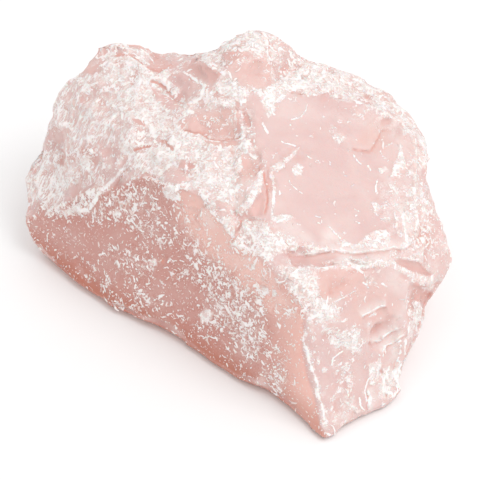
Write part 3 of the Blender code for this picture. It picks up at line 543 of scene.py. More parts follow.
# Cracks, ledges and strokes that can be followed by eye, where the skin is cut finer still. A crack is
# (width, depth, run), a ledge (drop, reach, how white its rim is, run) with the low side on its right, and
# a stroke (width, strength, run).
CRACKS = [
    (0.4, 0.10, [(0.6, 26.6), (1.5, 25.0), (2.2, 22.8), (1.4, 22.6)]),
    (0.5, 0.22, [(-12.4, 23.0), (-10.2, 21.7), (-8.0, 21.4), (-6.2, 20.4), (-3.8, 19.9), (-1.8, 20.3),
                 (0.8, 20.8)]),
    (0.6, 0.25, [(4.6, 14.4), (5.3, 11.0), (5.5, 8.0), (4.9, 4.8)]),
    (0.6, 0.24, [(-16.4, 20.0), (-15.0, 19.6), (-13.8, 18.6), (-13.1, 17.8)]),
    (0.55, 0.26, [(-21.6, 17.7), (-19.8, 18.4), (-17.8, 18.7)]),
    (0.65, 0.20, [(-18.2, 31.9), (-16.0, 31.2), (-14.8, 30.2), (-13.7, 29.2)]),
    (0.4, 0.15, [(-14.2, 29.2), (-13.2, 28.0), (-11.2, 27.2)]),
    (0.5, 0.20, [(0.4, 4.4), (-0.2, 2.6), (-0.9, 0.6), (-1.6, -0.8)]),
    (0.5, 0.20, [(-22.6, 37.4), (-20.0, 35.8), (-18.0, 34.2), (-16.2, 33.5), (-14.6, 34.6),
                 (-13.0, 35.8)]),
    (0.4, 0.12, [(-19.8, 39.0), (-17.6, 37.6), (-16.0, 35.6)]),
]
LEDGES = [
    (0.26, 2.4, 1.0, [(9.0, -3.0), (12.0, -3.1), (16.0, -2.8), (18.4, -2.2), (20.4, -2.6), (24.0, -2.7),
                      (28.0, -2.3), (30.6, -1.5), (32.4, -1.9), (34.6, -0.8), (36.4, 0.4)]),
    (0.30, 2.8, 0.0, [(0.6, 20.9), (-1.8, 20.4), (-3.8, 20.0), (-6.2, 20.5), (-8.0, 21.5), (-10.2, 21.8),
                      (-12.4, 23.1)]),
    (0.30, 2.0, 0.2, [(22.0, 18.4), (26.0, 17.9), (27.4, 20.0), (28.4, 21.8), (30.0, 22.6)]),
    (0.25, 1.6, 1.0, [(24.2, -15.8), (26.0, -14.5), (27.4, -13.7), (29.6, -13.4)]),
    (0.30, 2.0, 1.0, [(25.2, -20.5), (28.2, -20.4), (30.0, -18.8), (32.4, -17.6)]),
    (0.30, 1.8, 1.0, [(28.5, -23.2), (29.4, -21.4), (31.0, -20.6), (33.6, -18.6)]),
    (0.30, 1.4, 1.0, [(28.4, -25.4), (29.6, -29.0), (29.2, -32.0)]),
    (0.30, 1.4, 1.0, [(31.6, -23.6), (30.8, -27.0), (31.8, -30.0)]),
    (0.25, 1.2, 1.0, [(25.0, -29.7), (25.9, -31.6), (25.6, -34.2)]),
    (0.35, 2.0, 0.4, [(-4.4, 4.8), (-6.0, 7.0), (-7.6, 6.4), (-8.9, 4.2), (-7.6, 2.2)]),
    (0.30, 1.6, 0.5, [(6.0, 3.6), (3.4, 4.0), (1.0, 3.6), (-0.6, 1.6), (-2.2, -0.6)]),
    (0.30, 2.0, 0.3, [(-27.0, 8.6), (-24.4, 12.2), (-22.0, 15.0)]),
]
STROKES = [
    (0.9, 1.0, [(-12.2, 34.0), (-9.0, 32.2), (-7.2, 31.0), (-7.8, 28.6), (-11.2, 26.6)]),
    (1.2, 0.9, [(-33.0, 5.2), (-30.2, 6.4), (-28.0, 9.6), (-25.0, 12.6), (-22.0, 15.2)]),
    (0.45, 1.0, [(24.2, -9.8), (21.6, -11.0), (18.2, -12.8)]),
    (0.40, 1.0, [(20.6, -13.4), (18.0, -14.2), (15.6, -14.9)]),
    (0.35, 1.0, [(24.5, -5.8), (25.0, -7.4), (25.5, -8.8)]),
    (0.7, 1.0, [(24.2, -8.4), (25.2, -8.9), (25.9, -9.6)]),
    (0.7, 1.0, [(28.4, -8.3), (29.0, -8.9), (29.6, -9.4)]),
    (0.55, 1.0, [(18.4, -25.4), (18.8, -23.6), (20.7, -22.1)]),
    (0.45, 1.0, [(17.4, 3.2), (18.8, 1.4), (20.4, -0.2)]),
    (2.2, 0.62, [(13.4, -16.0), (12.9, -19.6), (13.5, -22.4), (14.3, -25.4), (15.1, -28.0), (15.7, -31.0),
                 (16.5, -34.0), (17.2, -38.8)]),
    (0.7, 1.0, [(13.0, -17.4), (12.8, -20.0), (13.5, -22.4), (14.3, -25.4), (15.1, -28.0), (15.8, -31.0),
                (16.6, -34.0), (17.2, -38.0)]),
    (0.5, 0.9, [(-20.2, 38.4), (-18.4, 37.0), (-16.8, 35.0)]),
    (0.5, 0.9, [(-21.6, 37.6), (-19.6, 36.2), (-18.0, 34.8)]),
    (0.8, 0.6, [(-4.4, 34.8), (-2.2, 35.8), (0.4, 35.4), (2.6, 36.4), (4.8, 35.8)]),
    (0.5, 0.9, [(-4.8, 38.2), (-1.6, 39.2), (1.2, 39.0)]),
    (0.55, 1.0, [(30.0, -24.6), (29.0, -27.2), (28.6, -29.6), (29.0, -32.4)]),
    (0.50, 1.0, [(32.6, -21.0), (31.4, -23.4), (31.0, -26.0), (31.6, -29.0), (31.0, -31.6)]),
    (0.50, 1.0, [(33.6, -19.0), (32.8, -22.0), (33.0, -25.0)]),
    (0.60, 1.0, [(27.0, -26.4), (25.4, -28.2), (24.8, -30.4), (25.6, -33.0)]),
    (0.5, 1.0, [(34.2, -12.4), (33.9, -15.4), (33.8, -19.6)]),
    (0.30, 1.0, [(31.4, -12.0), (33.0, -11.8), (34.4, -11.2)]),
    (1.3, 0.85, [(5.8, 14.6), (6.5, 11.6), (6.7, 8.0), (6.3, 4.2)]),
    (0.30, 1.0, [(9.6, 12.0), (11.1, 10.3), (13.2, 9.0)]),
    (0.3, 0.7, [(14.5, 8.6), (15.6, 9.2), (17.0, 9.9)]),
    (0.45, 1.0, [(13.2, 16.8), (14.6, 16.3), (16.1, 15.9)]),
    (0.6, 1.0, [(18.0, 15.9), (18.0, 14.7)]),
    (0.5, 1.0, [(7.9, 19.8), (9.4, 19.1), (11.8, 18.7)]),
    (0.30, 1.0, [(6.2, 16.0), (7.2, 17.2), (8.0, 17.6)]),
    (0.8, 1.0, [(4.2, 23.8), (5.0, 22.2), (5.8, 21.0)]),
    (0.40, 1.0, [(13.9, 27.6), (13.2, 25.6), (12.2, 24.7), (9.6, 23.9)]),
    (0.5, 1.0, [(9.7, 23.0), (10.3, 22.9)]),
    (0.35, 1.0, [(14.8, 4.7), (16.0, 4.2)]),
    (0.35, 1.0, [(15.3, 3.5), (16.3, 3.1)]),
    (0.40, 1.0, [(22.7, 6.2), (24.0, 5.6)]),
    (0.40, 1.0, [(22.9, 3.8), (24.3, 3.3)]),
    (0.35, 1.0, [(22.2, 10.7), (23.1, 11.2)]),
    (0.30, 1.0, [(20.7, 13.0), (21.5, 13.0)]),
    (0.5, 1.0, [(22.6, 17.4), (23.4, 16.0), (24.6, 15.0)]),
    (0.7, 1.0, [(25.4, 15.2), (25.7, 14.4), (26.4, 13.8)]),
    (0.40, 1.0, [(28.8, 18.4), (29.6, 18.8), (30.6, 19.4)]),
    (0.5, 1.0, [(27.4, 12.6), (27.2, 10.8), (27.4, 9.2)]),
    (0.9, 0.9, [(31.0, 6.8), (32.5, 5.2), (33.0, 2.0), (33.2, -0.8)]),
    (0.35, 1.0, [(28.6, 7.8), (30.4, 6.4), (31.4, 3.4)]),
    (0.40, 1.0, [(37.0, 5.4), (36.7, 2.0), (37.0, -1.4), (38.0, -3.6)]),
    (0.35, 1.0, [(38.2, 2.8), (38.0, 0.4), (38.8, -1.6)]),
    (0.30, 1.0, [(9.4, 0.2), (10.4, -1.2), (11.0, -2.4)]),
    (0.30, 1.0, [(12.4, 0.4), (13.2, -0.8), (13.9, -2.2)]),
    (0.5, 1.0, [(23.8, -31.4), (24.0, -33.0), (25.2, -34.3)]),
    (0.45, 1.0, [(25.2, -29.8), (25.9, -31.6), (25.6, -34.0)]),
    (0.40, 1.0, [(22.6, -36.4), (24.6, -35.4), (27.0, -34.0)]),
    (0.40, 1.0, [(29.4, -25.6), (28.8, -28.0), (29.6, -31.0)]),
    (0.35, 1.0, [(31.4, -25.0), (31.0, -28.0), (31.6, -30.6)]),
    (0.45, 1.0, [(29.4, -21.2), (28.8, -22.6), (28.4, -23.6)]),
    (0.7, 1.0, [(31.2, -20.9), (32.6, -20.0)]),
    (0.35, 1.0, [(-25.2, 19.8), (-25.6, 17.8), (-25.4, 16.2)]),
    (0.7, 0.7, [(-37.2, 17.6), (-35.6, 18.8), (-34.4, 20.4)]),
    (0.7, 0.6, [(-35.4, 25.2), (-36.6, 23.8), (-37.4, 22.4)]),
    (0.35, 1.0, [(-31.8, 23.2), (-31.0, 24.6), (-30.2, 26.0)]),
    (0.35, 1.0, [(-23.6, 28.0), (-23.8, 25.6), (-23.2, 23.8)]),
    (0.35, 1.0, [(-25.0, 31.6), (-24.6, 29.6), (-24.4, 28.0)]),
    (1, 0.55, [(-24.6, -0.8), (-24.2, -2.0), (-22.4, -1.9)]),
    (1, 0.55, [(-24.8, -3.6), (-22.0, -3.8), (-20.4, -4.8), (-19.2, -5.8)]),
    (1.3, 0.55, [(-21.2, -8.2), (-20.6, -9.6), (-19.4, -11.2), (-17.6, -12.6), (-16.8, -13.6)]),
    (0.9, 0.6, [(-9.6, 2.6), (-10.0, 0.6), (-10.4, -0.6), (-9.0, -1.4)]),
    (0.9, 0.6, [(-11.4, 5.4), (-10.6, 4.2), (-10.8, 2.8)]),
    (0.45, 1.0, [(-7.6, -19.8), (-6.6, -19.4), (-6.0, -19.0)]),
    (0.40, 1.0, [(-16.0, -15.2), (-14.6, -15.2)]),
    (0.9, 0.55, [(9.6, -24.2), (9.0, -26.0), (9.8, -28.6)]),
]
# How near a mark the skin is cut finer.
FINE_REACH = 0.5


def beside(run, spots):
    """Each point's distance from the run, to its left above 0 and to its right below 0, and a fade to 0
    at the run's ends."""
    nearest = np.full(len(spots), 1e9)
    whole = sum(math.dist(a, b) for a, b in zip(run, run[1:]))
    gone = 0.0
    fading = np.zeros(len(spots))
    for start, end in zip(np.array(run), np.array(run[1:])):
        step = end - start
        length = np.hypot(*step)
        away = spots - start
        along = np.clip(away @ step / length**2, 0, 1)
        off = np.hypot(*(away - along[:, None] * step).T)
        off = np.where(step[0] * away[:, 1] - step[1] * away[:, 0] < 0, -off, off)
        closer = np.abs(off) < np.abs(nearest)
        nearest = np.where(closer, off, nearest)
        part = (gone + along * length) / whole
        fading = np.where(closer, fade(part, 0, 0.12) * (1 - fade(part, 0.88, 1)), fading)
        gone += length
    return nearest, fading


runs = [mark[-1] for mark in CRACKS + LEDGES + STROKES]
marked = np.min([np.abs(beside(run, spots)[0]) for run in runs], 0) < FINE_REACH
for *_, corners in FACETS:
    edge = within(corners, spots, FINE_REACH * 0.7)
    marked |= (edge > 0) & (edge < 1)
marked &= facing > 0.1
cut = bmesh.new()
cut.from_mesh(skin)
near_marks = [e for e in cut.edges if marked[e.verts[0].index] and marked[e.verts[1].index]]
bmesh.ops.subdivide_edges(cut, edges=near_marks, cuts=1, use_grid_fill=True)
# The base is flat, so it needs no fine skin.
base = [f for f in cut.faces if all(v.co.z < 1e-4 for v in f.verts)]
bmesh.ops.dissolve_faces(cut, faces=base, use_verts=True)
bmesh.ops.triangulate(cut, faces=cut.faces)
cut.to_mesh(skin)
cut.free()
skin.update()


def values_of(name):
    """What each point keeps under that name."""
    flat = np.empty(len(skin.vertices))
    skin.attributes[name].data.foreach_get("value", flat)
    return flat


def on_run(run, width):
    """1 along the middle of a run of that width, and 0 away from it."""
    off, fading = beside(run, spots)
    return (1 - fade(np.abs(off), width * 0.15, width * 0.6)) * fading * facing


points = at_points(skin, "co")
normals = at_points(skin, "normal")
spots = seen_at(points)
facing = shown(normals)
bruise, clear_and_shaded, deep, combed, clean, cream = (
    values_of(name) for name in ("bruise", "hollow", "deep", "combed", "clean", "cream"))
chipped = np.zeros(len(points))
# Each chip's clear part takes the deeper hollow pink, partly its own colour and partly painted shade.
for target, clear, _, corners in FACETS:
    inside = within(corners, spots, SHARP_EDGE) * facing
    bruise += (target - bruise) * inside
    clear_and_shaded += (clear - clear_and_shaded) * inside
    # A chip that is crushed white takes neither the long face's deep pink nor its painted shade, and has
    # fewer crumbs and flakes.
    if target > 0.5:
        deep *= 1 - inside
        chipped = np.maximum(chipped, inside)
drop = np.zeros(len(points))
stroke = np.zeros(len(points))
uneven = 0.72 + 0.28 * noise_over(points, 1.2, 17)
# Cracks sink and are painted a deeper pink, partly as painted shade in them.
for width, depth, run in CRACKS:
    inside = on_run(run, width)
    drop = np.maximum(drop, inside * depth)
    clear_and_shaded = np.maximum(clear_and_shaded, inside * min(1, depth * 3))
    bruise *= 1 - 0.9 * inside
# Ledges drop on their low side, whose lip is painted a deeper pink as painted shade.
for height, reach, white, run in LEDGES:
    off, fading = beside(run, spots)
    low = (off < 0) * (1 - fade(-off, 0, reach)) * fading * facing
    drop += low * height
    lip = (1 - fade(np.abs(off + 0.15), 0.1, 0.4)) * fading * facing
    clear_and_shaded = np.maximum(clear_and_shaded, lip * min(1, height * 1.3))
    rim = (1 - fade(np.abs(off - 0.35), 0.05, 0.40)) * fading * facing * white
    stroke = np.maximum(stroke, rim * uneven * 0.9)
    cream = np.maximum(cream, (off > 0) * (1 - fade(off, 0.3, 2.4)) * fading * facing * white * 0.8)
for width, strength, run in STROKES:
    inside = on_run(run, width) * strength
    stroke = np.maximum(stroke, inside * uneven)
    drop -= inside * 0.03
outwards = normals.copy()
outwards[points[:, 2] < ON_TABLE, 2] = 0
points = points - outwards * drop[:, None]
points[:, 2] = np.maximum(points[:, 2], 0)

# ---------------------------------------------------------------------------------------------------
# The bruised skin. Knocks crush the opal white along its ridges and scatter white strokes and crumbs
# over its faces, and the hollows stay clear, waxy and deeper pink: partly the stone's own colour, partly
# painted shade in its creases, cracks and under its ledges.
skin.vertices.foreach_set("co", (points * MM).ravel())
split = SPLIT - normals * (normals @ SPLIT)[:, None]
# Crumbs and splinters are few where a clean face is hardly bruised, and where a rough one is crushed white.
calm = np.clip(clean, 0, 1) * (1 - fade(bruise, 0.5, 0.75))
calm += 0.8 * fade(bruise, 0.6, 0.85) * (1 - deep) * (1 - combed) * (1 - np.clip(clean, 0, 1))
calm = np.maximum(calm, 0.5 * chipped)
kept = {"bruise": np.clip(bruise, 0, 1), "hollow": clear_and_shaded, "deep": deep, "cream": cream}
for name, values in kept.items():
    skin.attributes[name].data.foreach_set("value", values)
for name, values in {"stroke": stroke, "calm": calm}.items():
    skin.attributes.new(name, "FLOAT", "POINT").data.foreach_set("value", values)
skin.attributes.new("split", "FLOAT_VECTOR", "POINT").data.foreach_set("vector", split.ravel())
skin.polygons.foreach_set("use_smooth", np.ones(len(skin.polygons), bool))
skin.update()


def linear(colour):
    """The linear colour of an sRGB hex value."""
    parts = [int(colour[i : i + 2], 16) / 255 for i in (1, 3, 5)]
    return (*(p / 12.92 if p <= 0.04045 else ((p + 0.055) / 1.055) ** 2.4 for p in parts), 1)


def add(tree, kind, inputs=None, out=0, **settings):
    """Adds a node with its settings, gives each input its value or link, and returns one output."""
    made = tree.nodes.new(kind)
    for name, value in settings.items():
        setattr(made, name, value)
    for name, value in (inputs or {}).items():
        socket = made.inputs[name] if isinstance(name, int) else next(
            s for s in made.inputs if s.enabled and s.name == name)
        if isinstance(value, bpy.types.NodeSocket):
            tree.links.new(value, socket)
        else:
            socket.default_value = value
    return made.outputs[out]


# Common opal, as it broke: a waxy, slightly translucent pink. Milky clouds drift through it about a
# centimetre apart, and crushed opal lies on it as a veil, strokes and crumbs, white and dull.
# The long face's pinks are partly the stone's own deeper pink and partly painted shade, since that face
# looks away from the lamp.
DEEP_PINK_SHADED = linear("#CA9389")
DULL_PINK_SHADED = linear("#CFA29A")
# Painted light, where light comes through the long face's edges.
EDGE_GLOW_PINK = linear("#F2C4B8")
BLUSH_PINK = linear("#E2B8AE")
# Painted shade on the long face near the table.
FOOT_SHADE_PINK = linear("#BE7763")
CLEAR_PINK = linear("#DCBCB8")
MILKY_PINK = linear("#E3C8C3")
# Partly clear stone in the hollows, partly painted shade in creases, cracks and ledge lips.
HOLLOW_SHADE_PINK = linear("#DC9686")
# Painted shadow round each white mark.
MARK_SHADOW_TINT = linear("#E8C2B8")
FROST = linear("#EFE3DF")
CRUSHED = linear("#FAF6F4")
# How large its patterns are: milky clouds, crumbs, white splinters, creased patches and their plates, the
# sheets and wisps of the veil, combed streaks, and shells. Its grit is finer than 0.1 mm, and is drawn at
# 0.3 mm so that it shows. The last is how deep its fine relief goes.
CLOUD_MM = 9
CRUMB_MM = 0.5
SPLINTERS_MM = (2.0, 1.2, 0.8)
PATCH_MM = 1.5
PLATES_MM = (1.7, 0.8)
SHEET_MM = 3.4
WISP_MM = 2.4
STREAK_MM = 0.62
SHELL_MM = 0.9
GRIT_MM = 0.3
RELIEF_MM = 0.2
# Light goes this far into it, and red light the furthest.
GLOW_MM = 1.2
GLOW = (1.0, 0.45, 0.35)
OPAL_IOR = 1.45

opal = bpy.data.materials.new("pink_common_opal")
opal.use_nodes = True
tree = opal.node_tree
shader = tree.nodes["Principled BSDF"]
place = add(tree, "ShaderNodeTexCoord", out="Object")
READ = ("bruise", "hollow", "deep", "warm", "blush", "foot", "rough", "combed", "stroke", "cream", "calm")
bruised, hollow, shaded_long_face, edge_glowing, blushed, foot_shaded, roughened, combing, stroked, creamy, calmed = (
    add(tree, "ShaderNodeAttribute", out="Fac", attribute_name=name) for name in READ)
along_split = add(tree, "ShaderNodeAttribute", out="Vector", attribute_name="split")


def over_threshold(pattern, when_clear, when_crushed, soft):
    """How far the pattern is above a threshold, counted in widths of its soft edge. The threshold goes from
    the first value, on clear stone, to the second, on stone that is crushed white."""
    threshold = add(tree, "ShaderNodeMapRange", {"Value": bruised, "To Min": when_clear,
                                                 "To Max": when_crushed})
    above = add(tree, "ShaderNodeMath", {0: pattern, 1: threshold}, operation="SUBTRACT")
    return add(tree, "ShaderNodeMath", {0: above, 1: soft}, operation="DIVIDE")


def pieces(size, seed):
    """Parts the stone into pieces of about that size: where a point is in its piece, and three random
    numbers of the piece's own."""
    bend = add(tree, "ShaderNodeTexNoise", {"Vector": place, "Scale": 900 / size}, out="Color")
    bent = add(tree, "ShaderNodeVectorMath", {0: bend, 1: (size * MM * 1.1,) * 3, 2: place},
               operation="MULTIPLY_ADD")
    cells = add(tree, "ShaderNodeVectorMath", {0: bent, 1: (1000 / size,) * 3, 2: (seed, seed, seed)},
                operation="MULTIPLY_ADD")
    middle = add(tree, "ShaderNodeTexVoronoi", {"Vector": cells, "Scale": 1.0}, out="Position")
    chance = middle.node.outputs["Color"]
    off = add(tree, "ShaderNodeVectorMath", {0: cells, 1: middle}, operation="SUBTRACT")
    dice = add(tree, "ShaderNodeVectorMath", {0: chance, 1: (-0.5,) * 3}, operation="ADD")
    return off, dice


def splinters(size, seed):
    """Little rods of about that size that lie in the stone, along its split, where the skin cuts them."""
    off, dice = pieces(size, seed)
    turn = add(tree, "ShaderNodeVectorMath", {0: along_split, 1: (0.3,) * 3, 2: dice},
               operation="MULTIPLY_ADD")
    turn = add(tree, "ShaderNodeVectorMath", {0: turn}, operation="NORMALIZE")
    along = add(tree, "ShaderNodeVectorMath", {0: off, 1: turn}, out="Value", operation="DOT_PRODUCT")
    squared = add(tree, "ShaderNodeVectorMath", {0: off, 1: off}, out="Value", operation="DOT_PRODUCT")
    along = add(tree, "ShaderNodeMath", {0: along, 1: along}, operation="MULTIPLY")
    across = add(tree, "ShaderNodeMath", {0: squared, 1: along}, operation="SUBTRACT")
    rod = add(tree, "ShaderNodeMath", {0: along, 1: 0.06, 2: across}, operation="MULTIPLY_ADD")
    rod = add(tree, "ShaderNodeMath", {0: rod}, operation="SQRT")
    rod = add(tree, "ShaderNodeMath", {0: 1.0, 1: rod}, operation="SUBTRACT")
    return over_threshold(rod, 0.91, 0.70, 0.06)


def creases(size):
    """1 along the joints between angular plates of about that size."""
    bend = add(tree, "ShaderNodeTexNoise", {"Vector": place, "Scale": 1300 / size, "Detail": 1.0},
               out="Color")
    bent = add(tree, "ShaderNodeVectorMath", {0: bend, 1: (size * MM * 0.9,) * 3, 2: place},
               operation="MULTIPLY_ADD")
    joint = add(tree, "ShaderNodeTexVoronoi", {"Vector": bent, "Scale": 1000 / size},
                feature="DISTANCE_TO_EDGE")
    return add(tree, "ShaderNodeMapRange", {"Value": joint, "From Min": 0.02, "From Max": 0.10,
                                            "To Min": 1.0, "To Max": 0.0},
               interpolation_type="SMOOTHSTEP")


# Crumbs, and patches of little angular plates whose joints are white. Both spread as the bruise grows.
crumb_noise = add(tree, "ShaderNodeTexNoise", {"Vector": place, "Scale": 1000 / CRUMB_MM, "Detail": 3.0,
                                               "Distortion": 1.2})
crumbs = over_threshold(crumb_noise, 0.79, 0.50, 0.07)
sheet_noise = add(tree, "ShaderNodeTexNoise", {"Vector": place, "Scale": 1000 / WISP_MM, "Detail": 6.0,
                                               "Roughness": 0.65, "Distortion": 1.0})
patch_noise = add(tree, "ShaderNodeTexNoise", {"Vector": place, "Scale": 1000 / PATCH_MM, "Detail": 2.0})
patches = add(tree, "ShaderNodeMapRange", {"Value": over_threshold(patch_noise, 0.70, 0.36, 0.08)},
              interpolation_type="SMOOTHSTEP")
wide_joints, fine_joints = (creases(size) for size in PLATES_MM)
joints = add(tree, "ShaderNodeMath", {0: wide_joints, 1: fine_joints}, operation="MAXIMUM")
crease = add(tree, "ShaderNodeMath", {0: joints, 1: patches}, operation="MULTIPLY")

# The combed face has long thin white streaks along the split.
run_along = add(tree, "ShaderNodeVectorMath", {0: place, 1: tuple(SPLIT)}, out="Value",
                operation="DOT_PRODUCT")
squeeze = add(tree, "ShaderNodeVectorMath", {0: tuple(SPLIT * -0.8), "Scale": run_along}, operation="SCALE")
squeezed = add(tree, "ShaderNodeVectorMath", {0: place, 1: squeeze}, operation="ADD")
streak_noise = add(tree, "ShaderNodeTexNoise", {"Vector": squeezed, "Scale": 1000 / STREAK_MM,
                                                "Detail": 2.0, "Distortion": 0.5})
streaks = add(tree, "ShaderNodeMath", {0: streak_noise, 1: 0.5}, operation="SUBTRACT")
streaks = add(tree, "ShaderNodeMath", {0: streaks}, operation="ABSOLUTE")
streaks = add(tree, "ShaderNodeMath", {0: streaks, 1: -8.0, 2: 1.0}, operation="MULTIPLY_ADD")
streaks = over_threshold(streaks, 1.0, 0.34, 0.10)
elsewhere = add(tree, "ShaderNodeMapRange", {"Value": combing, "To Min": -8.0, "To Max": 0.0})
streaks = add(tree, "ShaderNodeMath", {0: streaks, 1: elsewhere}, operation="ADD")

# All that is crushed white: the ragged strokes, and the crumbs, splinters, joints and streaks.
ragged = add(tree, "ShaderNodeMath", {0: crumb_noise, 1: 0.8, 2: stroked}, operation="MULTIPLY_ADD")
strokes = add(tree, "ShaderNodeMapRange", {"Value": ragged, "From Min": 0.75, "From Max": 1.1},
              interpolation_type="SMOOTHSTEP")
marks = crumbs
for i, size in enumerate(SPLINTERS_MM):
    marks = add(tree, "ShaderNodeMath", {0: marks, 1: splinters(size, 7.3 * i)}, operation="MAXIMUM")
marks = add(tree, "ShaderNodeMath", {0: combing, 1: -2.2, 2: marks}, operation="MULTIPLY_ADD")
marks = add(tree, "ShaderNodeMath", {0: calmed, 1: -1.3, 2: marks}, operation="MULTIPLY_ADD")
marks = add(tree, "ShaderNodeMath", {0: marks, 1: streaks}, operation="MAXIMUM")
crushed = add(tree, "ShaderNodeMapRange", {"Value": marks}, interpolation_type="SMOOTHSTEP")
crushed = add(tree, "ShaderNodeMath", {0: crushed, 1: crease}, operation="MAXIMUM")
crushed = add(tree, "ShaderNodeMath", {0: crushed, 1: 0.9}, operation="MULTIPLY")
crushed = add(tree, "ShaderNodeMath", {0: crushed, 1: strokes}, operation="MAXIMUM")

# Each mark is rimmed with a darker pink, a painted shadow, most on the long face, and not where the
# stone is hardly bruised.
mark_shadow = add(tree, "ShaderNodeMapRange", {"Value": marks, "From Min": -2.6, "From Max": -0.6, "To Max": 0.5},
           interpolation_type="SMOOTHSTEP")
where = add(tree, "ShaderNodeMapRange", {"Value": bruised, "From Min": 0.12, "From Max": 0.4})
mark_shadow = add(tree, "ShaderNodeMath", {0: mark_shadow, 1: where}, operation="MULTIPLY")
where = add(tree, "ShaderNodeMapRange", {"Value": shaded_long_face, "To Min": 0.35})
mark_shadow = add(tree, "ShaderNodeMath", {0: mark_shadow, 1: where}, operation="MULTIPLY")

# The veil lies in sheets, each white along one edge and clearer towards the other. It thins along the
# plates' joints, on the long face and on the combed one, and thickens where it lies like cream.
off, dice = pieces(SHEET_MM, 5.3)
sheet = add(tree, "ShaderNodeVectorMath", {0: off, 1: dice}, out="Value", operation="DOT_PRODUCT")
sheet = add(tree, "ShaderNodeMath", {0: sheet, 1: roughened}, operation="MULTIPLY")
veil = add(tree, "ShaderNodeMath", {0: sheet_noise, 1: 0.8, 2: bruised}, operation="MULTIPLY_ADD")
veil = add(tree, "ShaderNodeMath", {0: sheet, 1: 1.2, 2: veil}, operation="MULTIPLY_ADD")
veil = add(tree, "ShaderNodeMapRange", {"Value": veil, "From Min": 0.66, "From Max": 1.14, "To Max": 1.0},
           interpolation_type="SMOOTHSTEP")
thinner = add(tree, "ShaderNodeMath", {0: joints, 1: -0.75, 2: 1.0}, operation="MULTIPLY_ADD")
veil = add(tree, "ShaderNodeMath", {0: veil, 1: thinner}, operation="MULTIPLY")
clearer = add(tree, "ShaderNodeMath", {0: combing, 1: 0.75, 2: shaded_long_face}, operation="MULTIPLY_ADD")
thinner = add(tree, "ShaderNodeMath", {0: clearer, 1: -0.7, 2: 1.0}, operation="MULTIPLY_ADD")
veil = add(tree, "ShaderNodeMath", {0: veil, 1: thinner}, operation="MULTIPLY")
thicker = add(tree, "ShaderNodeMapRange", {"Value": sheet_noise, "From Min": 0.3, "From Max": 0.6,
                                           "To Min": 0.55})
thicker = add(tree, "ShaderNodeMath", {0: creamy, 1: thicker}, operation="MULTIPLY")
veil = add(tree, "ShaderNodeMath", {0: veil, 1: thicker}, operation="MAXIMUM")

# The clouded pinks, then the veil over them, and then what is crushed.
cloud_noise = add(tree, "ShaderNodeTexNoise", {"Vector": place, "Scale": 1000 / CLOUD_MM, "Detail": 3.0,
                                               "Distortion": 0.8})
clouds = add(tree, "ShaderNodeMapRange", {"Value": cloud_noise, "From Min": 0.35, "From Max": 0.68})
body = add(tree, "ShaderNodeMix", {"Factor": clouds, "A": CLEAR_PINK, "B": MILKY_PINK}, out=2,
           data_type="RGBA")
body = add(tree, "ShaderNodeMix", {"Factor": blushed, "A": body, "B": BLUSH_PINK}, out=2, data_type="RGBA")
# The long face's pinks, partly its own colour and partly painted shade.
dull = add(tree, "ShaderNodeMix", {"Factor": clouds, "A": DEEP_PINK_SHADED, "B": DULL_PINK_SHADED}, out=2,
           data_type="RGBA")
# Painted light through the long face's edges.
dull = add(tree, "ShaderNodeMix", {"Factor": edge_glowing, "A": dull, "B": EDGE_GLOW_PINK}, out=2, data_type="RGBA")
# Painted shade near the table.
dull = add(tree, "ShaderNodeMix", {"Factor": foot_shaded, "A": dull, "B": FOOT_SHADE_PINK}, out=2, data_type="RGBA")
body = add(tree, "ShaderNodeMix", {"Factor": shaded_long_face, "A": body, "B": dull}, out=2, data_type="RGBA")
# The hollow pink: clear stone, and painted shade in creases, cracks and ledge lips.
body = add(tree, "ShaderNodeMix", {"Factor": hollow, "A": body, "B": HOLLOW_SHADE_PINK}, out=2, data_type="RGBA")
body = add(tree, "ShaderNodeMix", {"Factor": veil, "A": body, "B": FROST}, out=2, data_type="RGBA")
# Painted shadow: each mark's rim is multiplied darker.
mark_shadow_tint = add(tree, "ShaderNodeMix", {"Factor": mark_shadow, "A": (1, 1, 1, 1), "B": MARK_SHADOW_TINT}, out=2,
             data_type="RGBA")
body = add(tree, "ShaderNodeMix", {"Factor": 1.0, "A": body, "B": mark_shadow_tint}, out=2, data_type="RGBA",
           blend_type="MULTIPLY")
body = add(tree, "ShaderNodeMix", {"Factor": crushed, "A": body, "B": CRUSHED}, out=2, data_type="RGBA")
tree.links.new(body, shader.inputs["Base Color"])
dulled = add(tree, "ShaderNodeMapRange", {"Value": crushed, "To Min": 0.36, "To Max": 0.7})
tree.links.new(dulled, shader.inputs["Roughness"])
shader.inputs["IOR"].default_value = OPAL_IOR
shader.inputs["Subsurface Weight"].default_value = 0.3
shader.inputs["Subsurface Radius"].default_value = GLOW
shader.inputs["Subsurface Scale"].default_value = GLOW_MM * MM

# Its fine relief: shells under a millimetre, which are shallow on the clean breaks, grit all over, and
# what is crushed, which stands a little proud.
shells = add(tree, "ShaderNodeTexVoronoi", {"Vector": place, "Scale": 1000 / SHELL_MM})
shells = add(tree, "ShaderNodeMath", {0: shells, 1: 2.0}, operation="POWER")
amount = add(tree, "ShaderNodeMapRange", {"Value": roughened, "To Min": 0.08, "To Max": 0.5})
lift = add(tree, "ShaderNodeMath", {0: shells, 1: amount}, operation="MULTIPLY")
grit = add(tree, "ShaderNodeTexNoise", {"Vector": place, "Scale": 1000 / GRIT_MM, "Detail": 3.0})
lift = add(tree, "ShaderNodeMath", {0: grit, 1: 0.25, 2: lift}, operation="MULTIPLY_ADD")
lift = add(tree, "ShaderNodeMath", {0: crushed, 1: 0.35, 2: lift}, operation="MULTIPLY_ADD")
bump = add(tree, "ShaderNodeBump", {"Distance": RELIEF_MM * MM, "Height": lift})
tree.links.new(bump, shader.inputs["Normal"])
skin.materials.clear()
skin.materials.append(opal)

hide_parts("pink_opal_stone")
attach(stone, "root")

